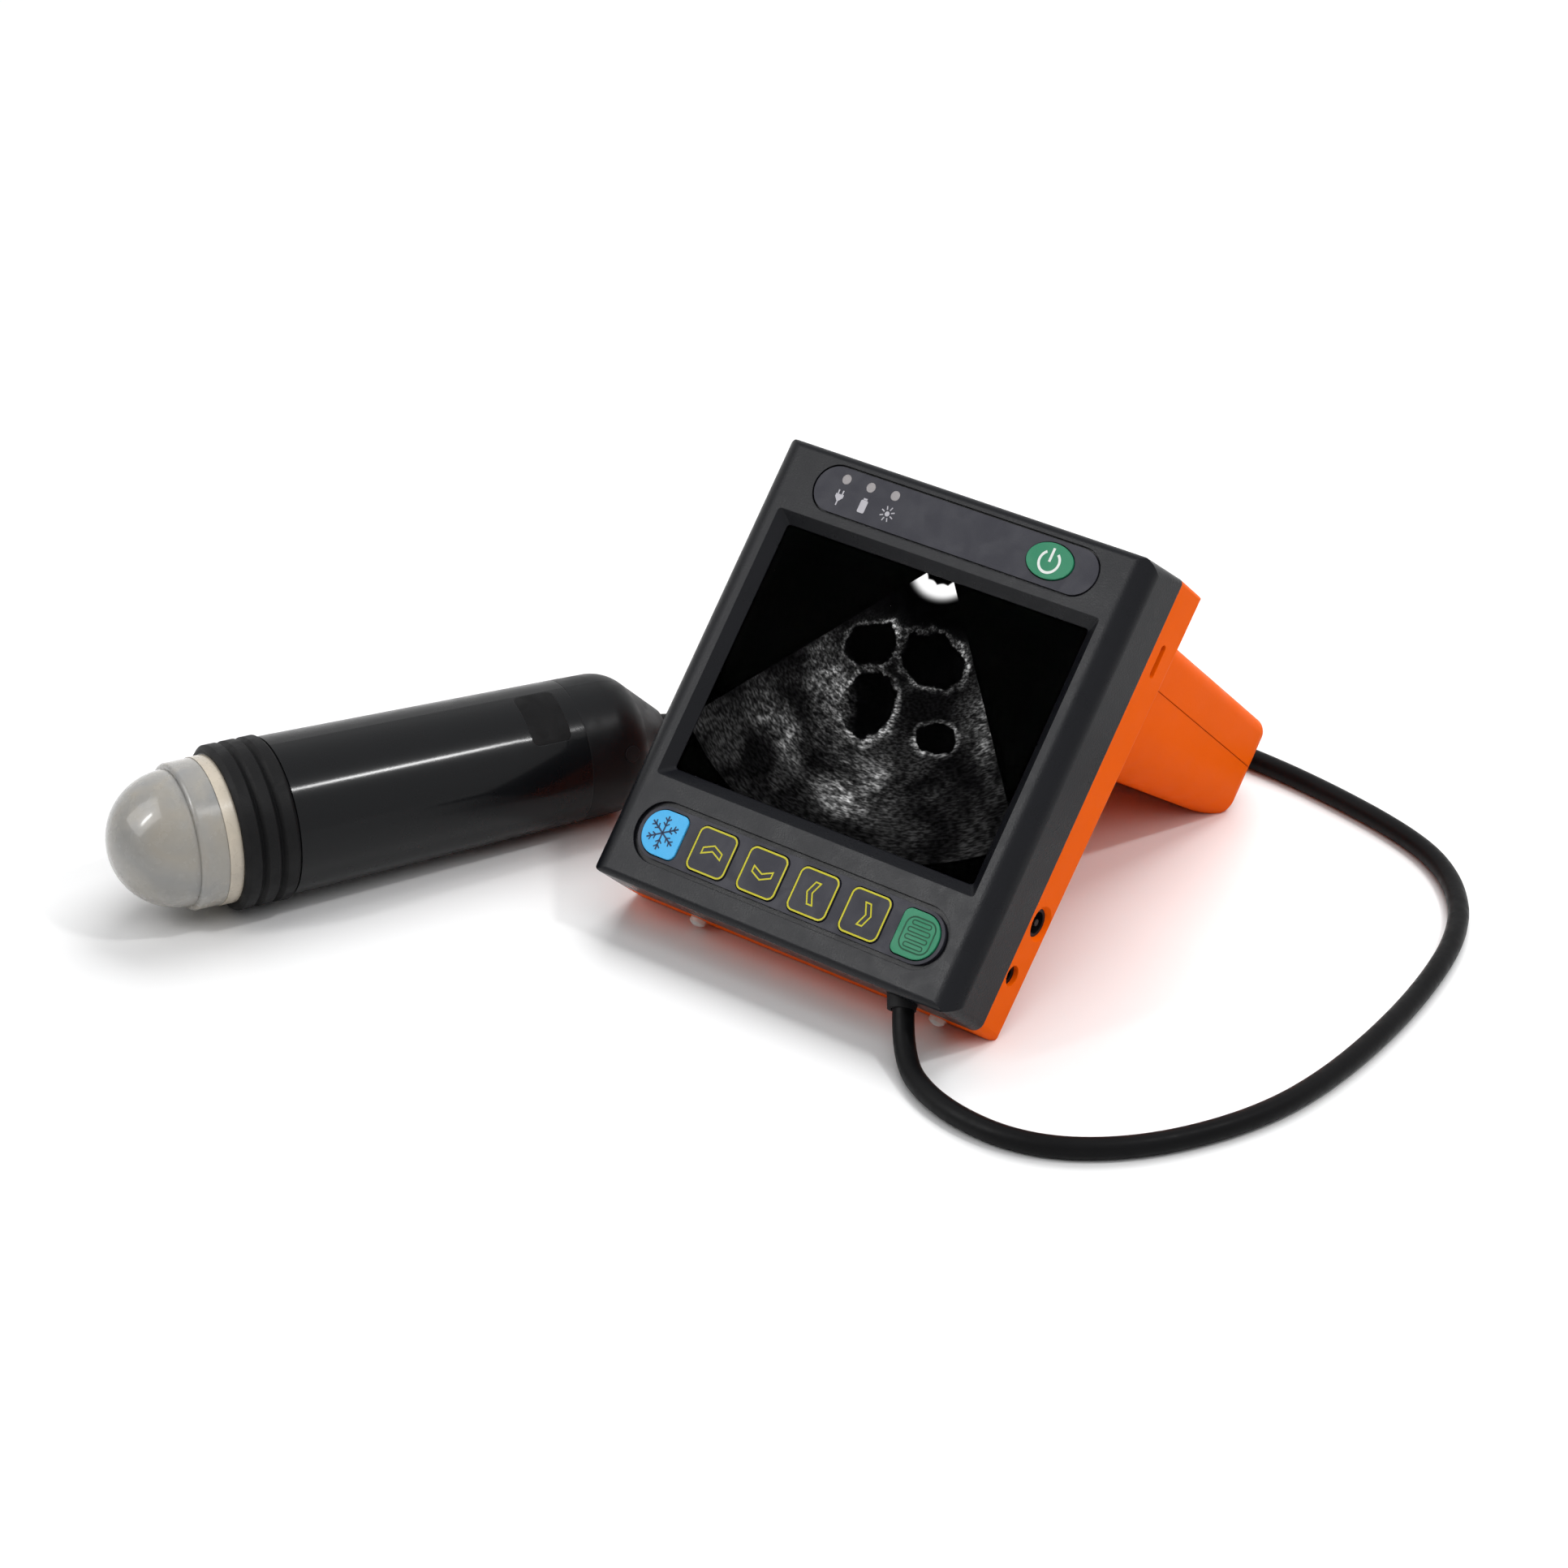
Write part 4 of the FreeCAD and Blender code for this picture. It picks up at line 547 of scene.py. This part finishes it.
def menu_list(bm, x, y, low, high):
    """List sign: a rounded frame with four slots."""
    ribbon(bm, rounded(9.4, 9.4, 2.6, x, y), 0.42, low, high, closed=True)
    for i in range(4):
        width = 7.0 if i in (1, 2) else 6.0
        slot = rounded(width, 1.2, 0.59, x, y + 3.15 - 2.1 * i, 4)
        ribbon(bm, slot, 0.34, low, high, closed=True)


def power_sign(bm, low, high):
    ribbon(bm, arc(POWER[0], POWER[1] - 0.3, 3.1, 125, 415, 30), 0.75, low, high)
    ribbon(bm, [(POWER[0], POWER[1] - 0.3), (POWER[0], POWER[1] + 3.7)], 0.75, low, high)


def status_signs(bm, low, high):
    """Plug, battery and sun under the three lights."""
    y = LED_Y - SIGN_DROP
    x = LED_X
    patch(bm, [(x - 1.3, y + 0.9), (x - 1.3, y), (x, y - 1.4), (x + 1.3, y), (x + 1.3, y + 0.9)], low, high)
    for side in (-0.7, 0.7):
        ribbon(bm, [(x + side, y + 0.9), (x + side, y + 2.1)], 0.4, low, high)
    ribbon(bm, [(x, y - 1.3), (x, y - 2.4)], 0.4, low, high)
    x += LED_PITCH
    patch(bm, rounded(2.3, 3.7, 0.4, x, y - 0.4, 3), low, high)
    ribbon(bm, [(x - 0.6, y + 1.8), (x + 0.6, y + 1.8)], 0.5, low, high)
    x += LED_PITCH
    patch(bm, arc(x, y - 0.1, 0.75, 0, 330, 11), low, high)
    for ray in range(8):
        turn = math.radians(45 * ray + 22.5)
        ribbon(bm, [(x + 1.2 * math.cos(turn), y - 0.1 + 1.2 * math.sin(turn)),
                    (x + 2.3 * math.cos(turn), y - 0.1 + 2.3 * math.sin(turn))], 0.34, low, high)


def add_marks():
    ink = inks()
    low, high = KEY_TOP - INK_DEPTH, KEY_TOP + INK_HEIGHT
    bm = bmesh.new()
    snowflake(bm, key_x(0), KEYPAD_Y, low, high)
    add_mesh("freeze_key_mark", bm, CONSOLE, ink["ink_navy"], "freeze_key")
    arrows = (("up_key", 0), ("down_key", 180), ("left_key", 90), ("right_key", -90))
    for index, (name, turn) in enumerate(arrows, 1):
        bm = bmesh.new()
        chevron(bm, key_x(index), KEYPAD_Y, turn, low, high)
        outline = rounded(KEY_FRAME, KEY_FRAME, 2.0, key_x(index), KEYPAD_Y)
        ribbon(bm, outline, 0.5, low, high, closed=True)
        add_mesh(name + "_mark", bm, CONSOLE, ink["ink_yellow"], name)
    bm = bmesh.new()
    menu_list(bm, key_x(5), KEYPAD_Y, low, high)
    add_mesh("menu_key_mark", bm, CONSOLE, ink["ink_forest"], "menu_key")
    bm = bmesh.new()
    power_sign(bm, low, high)
    add_mesh("power_key_mark", bm, CONSOLE, ink["ink_white"], "power_key")
    bm = bmesh.new()
    status_signs(bm, FACE - INK_DEPTH, FACE + INK_HEIGHT)
    add_mesh("status_marks", bm, CONSOLE, ink["ink_grey"], "scanner")


# --- cable --------------------------------------------------------------------------------------------
def add_cable(made):
    curve = bpy.data.curves.new("probe_lead", "CURVE")
    curve.dimensions = "3D"
    spline = curve.splines.new("NURBS")
    spline.points.add(len(CABLE) - 1)
    for point, place in zip(spline.points, CABLE):
        point.co = (place[0] * MM, place[1] * MM, place[2] * MM, 1.0)
    spline.order_u = 3
    spline.use_endpoint_u = True
    spline.resolution_u = 12
    curve.bevel_depth = CABLE_RADIUS * MM
    curve.bevel_resolution = 8
    curve.use_fill_caps = True
    curve.materials.append(made["cable_jacket"])
    cable = bpy.data.objects.new("probe_lead", curve)
    bpy.context.collection.objects.link(cable)
    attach(cable, "scanner")
    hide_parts("probe_cable")


def add_floor():
    bm = bmesh.new()
    bm.faces.new([bm.verts.new((x, y, 0)) for x, y in arc(0, 0, FLOOR_RADIUS, 0, 357, 119)])
    mesh = bpy.data.meshes.new("floor")
    bm.to_mesh(mesh)
    bm.free()
    mesh.materials.append(moulded("floor_sheet", (0.88, 0.88, 0.88, 1), 0.34, 0.01, blotch=3.0,
                                  height=0.00001, edge=None, Specular_IOR_Level=0.6))
    floor = bpy.data.objects.new("floor", mesh)
    bpy.context.collection.objects.link(floor)


add_camera()
materials = all_materials()
add_cable(materials)
add_studio()
add_floor()
dress_frame(materials)
add_display(materials)
add_marks()
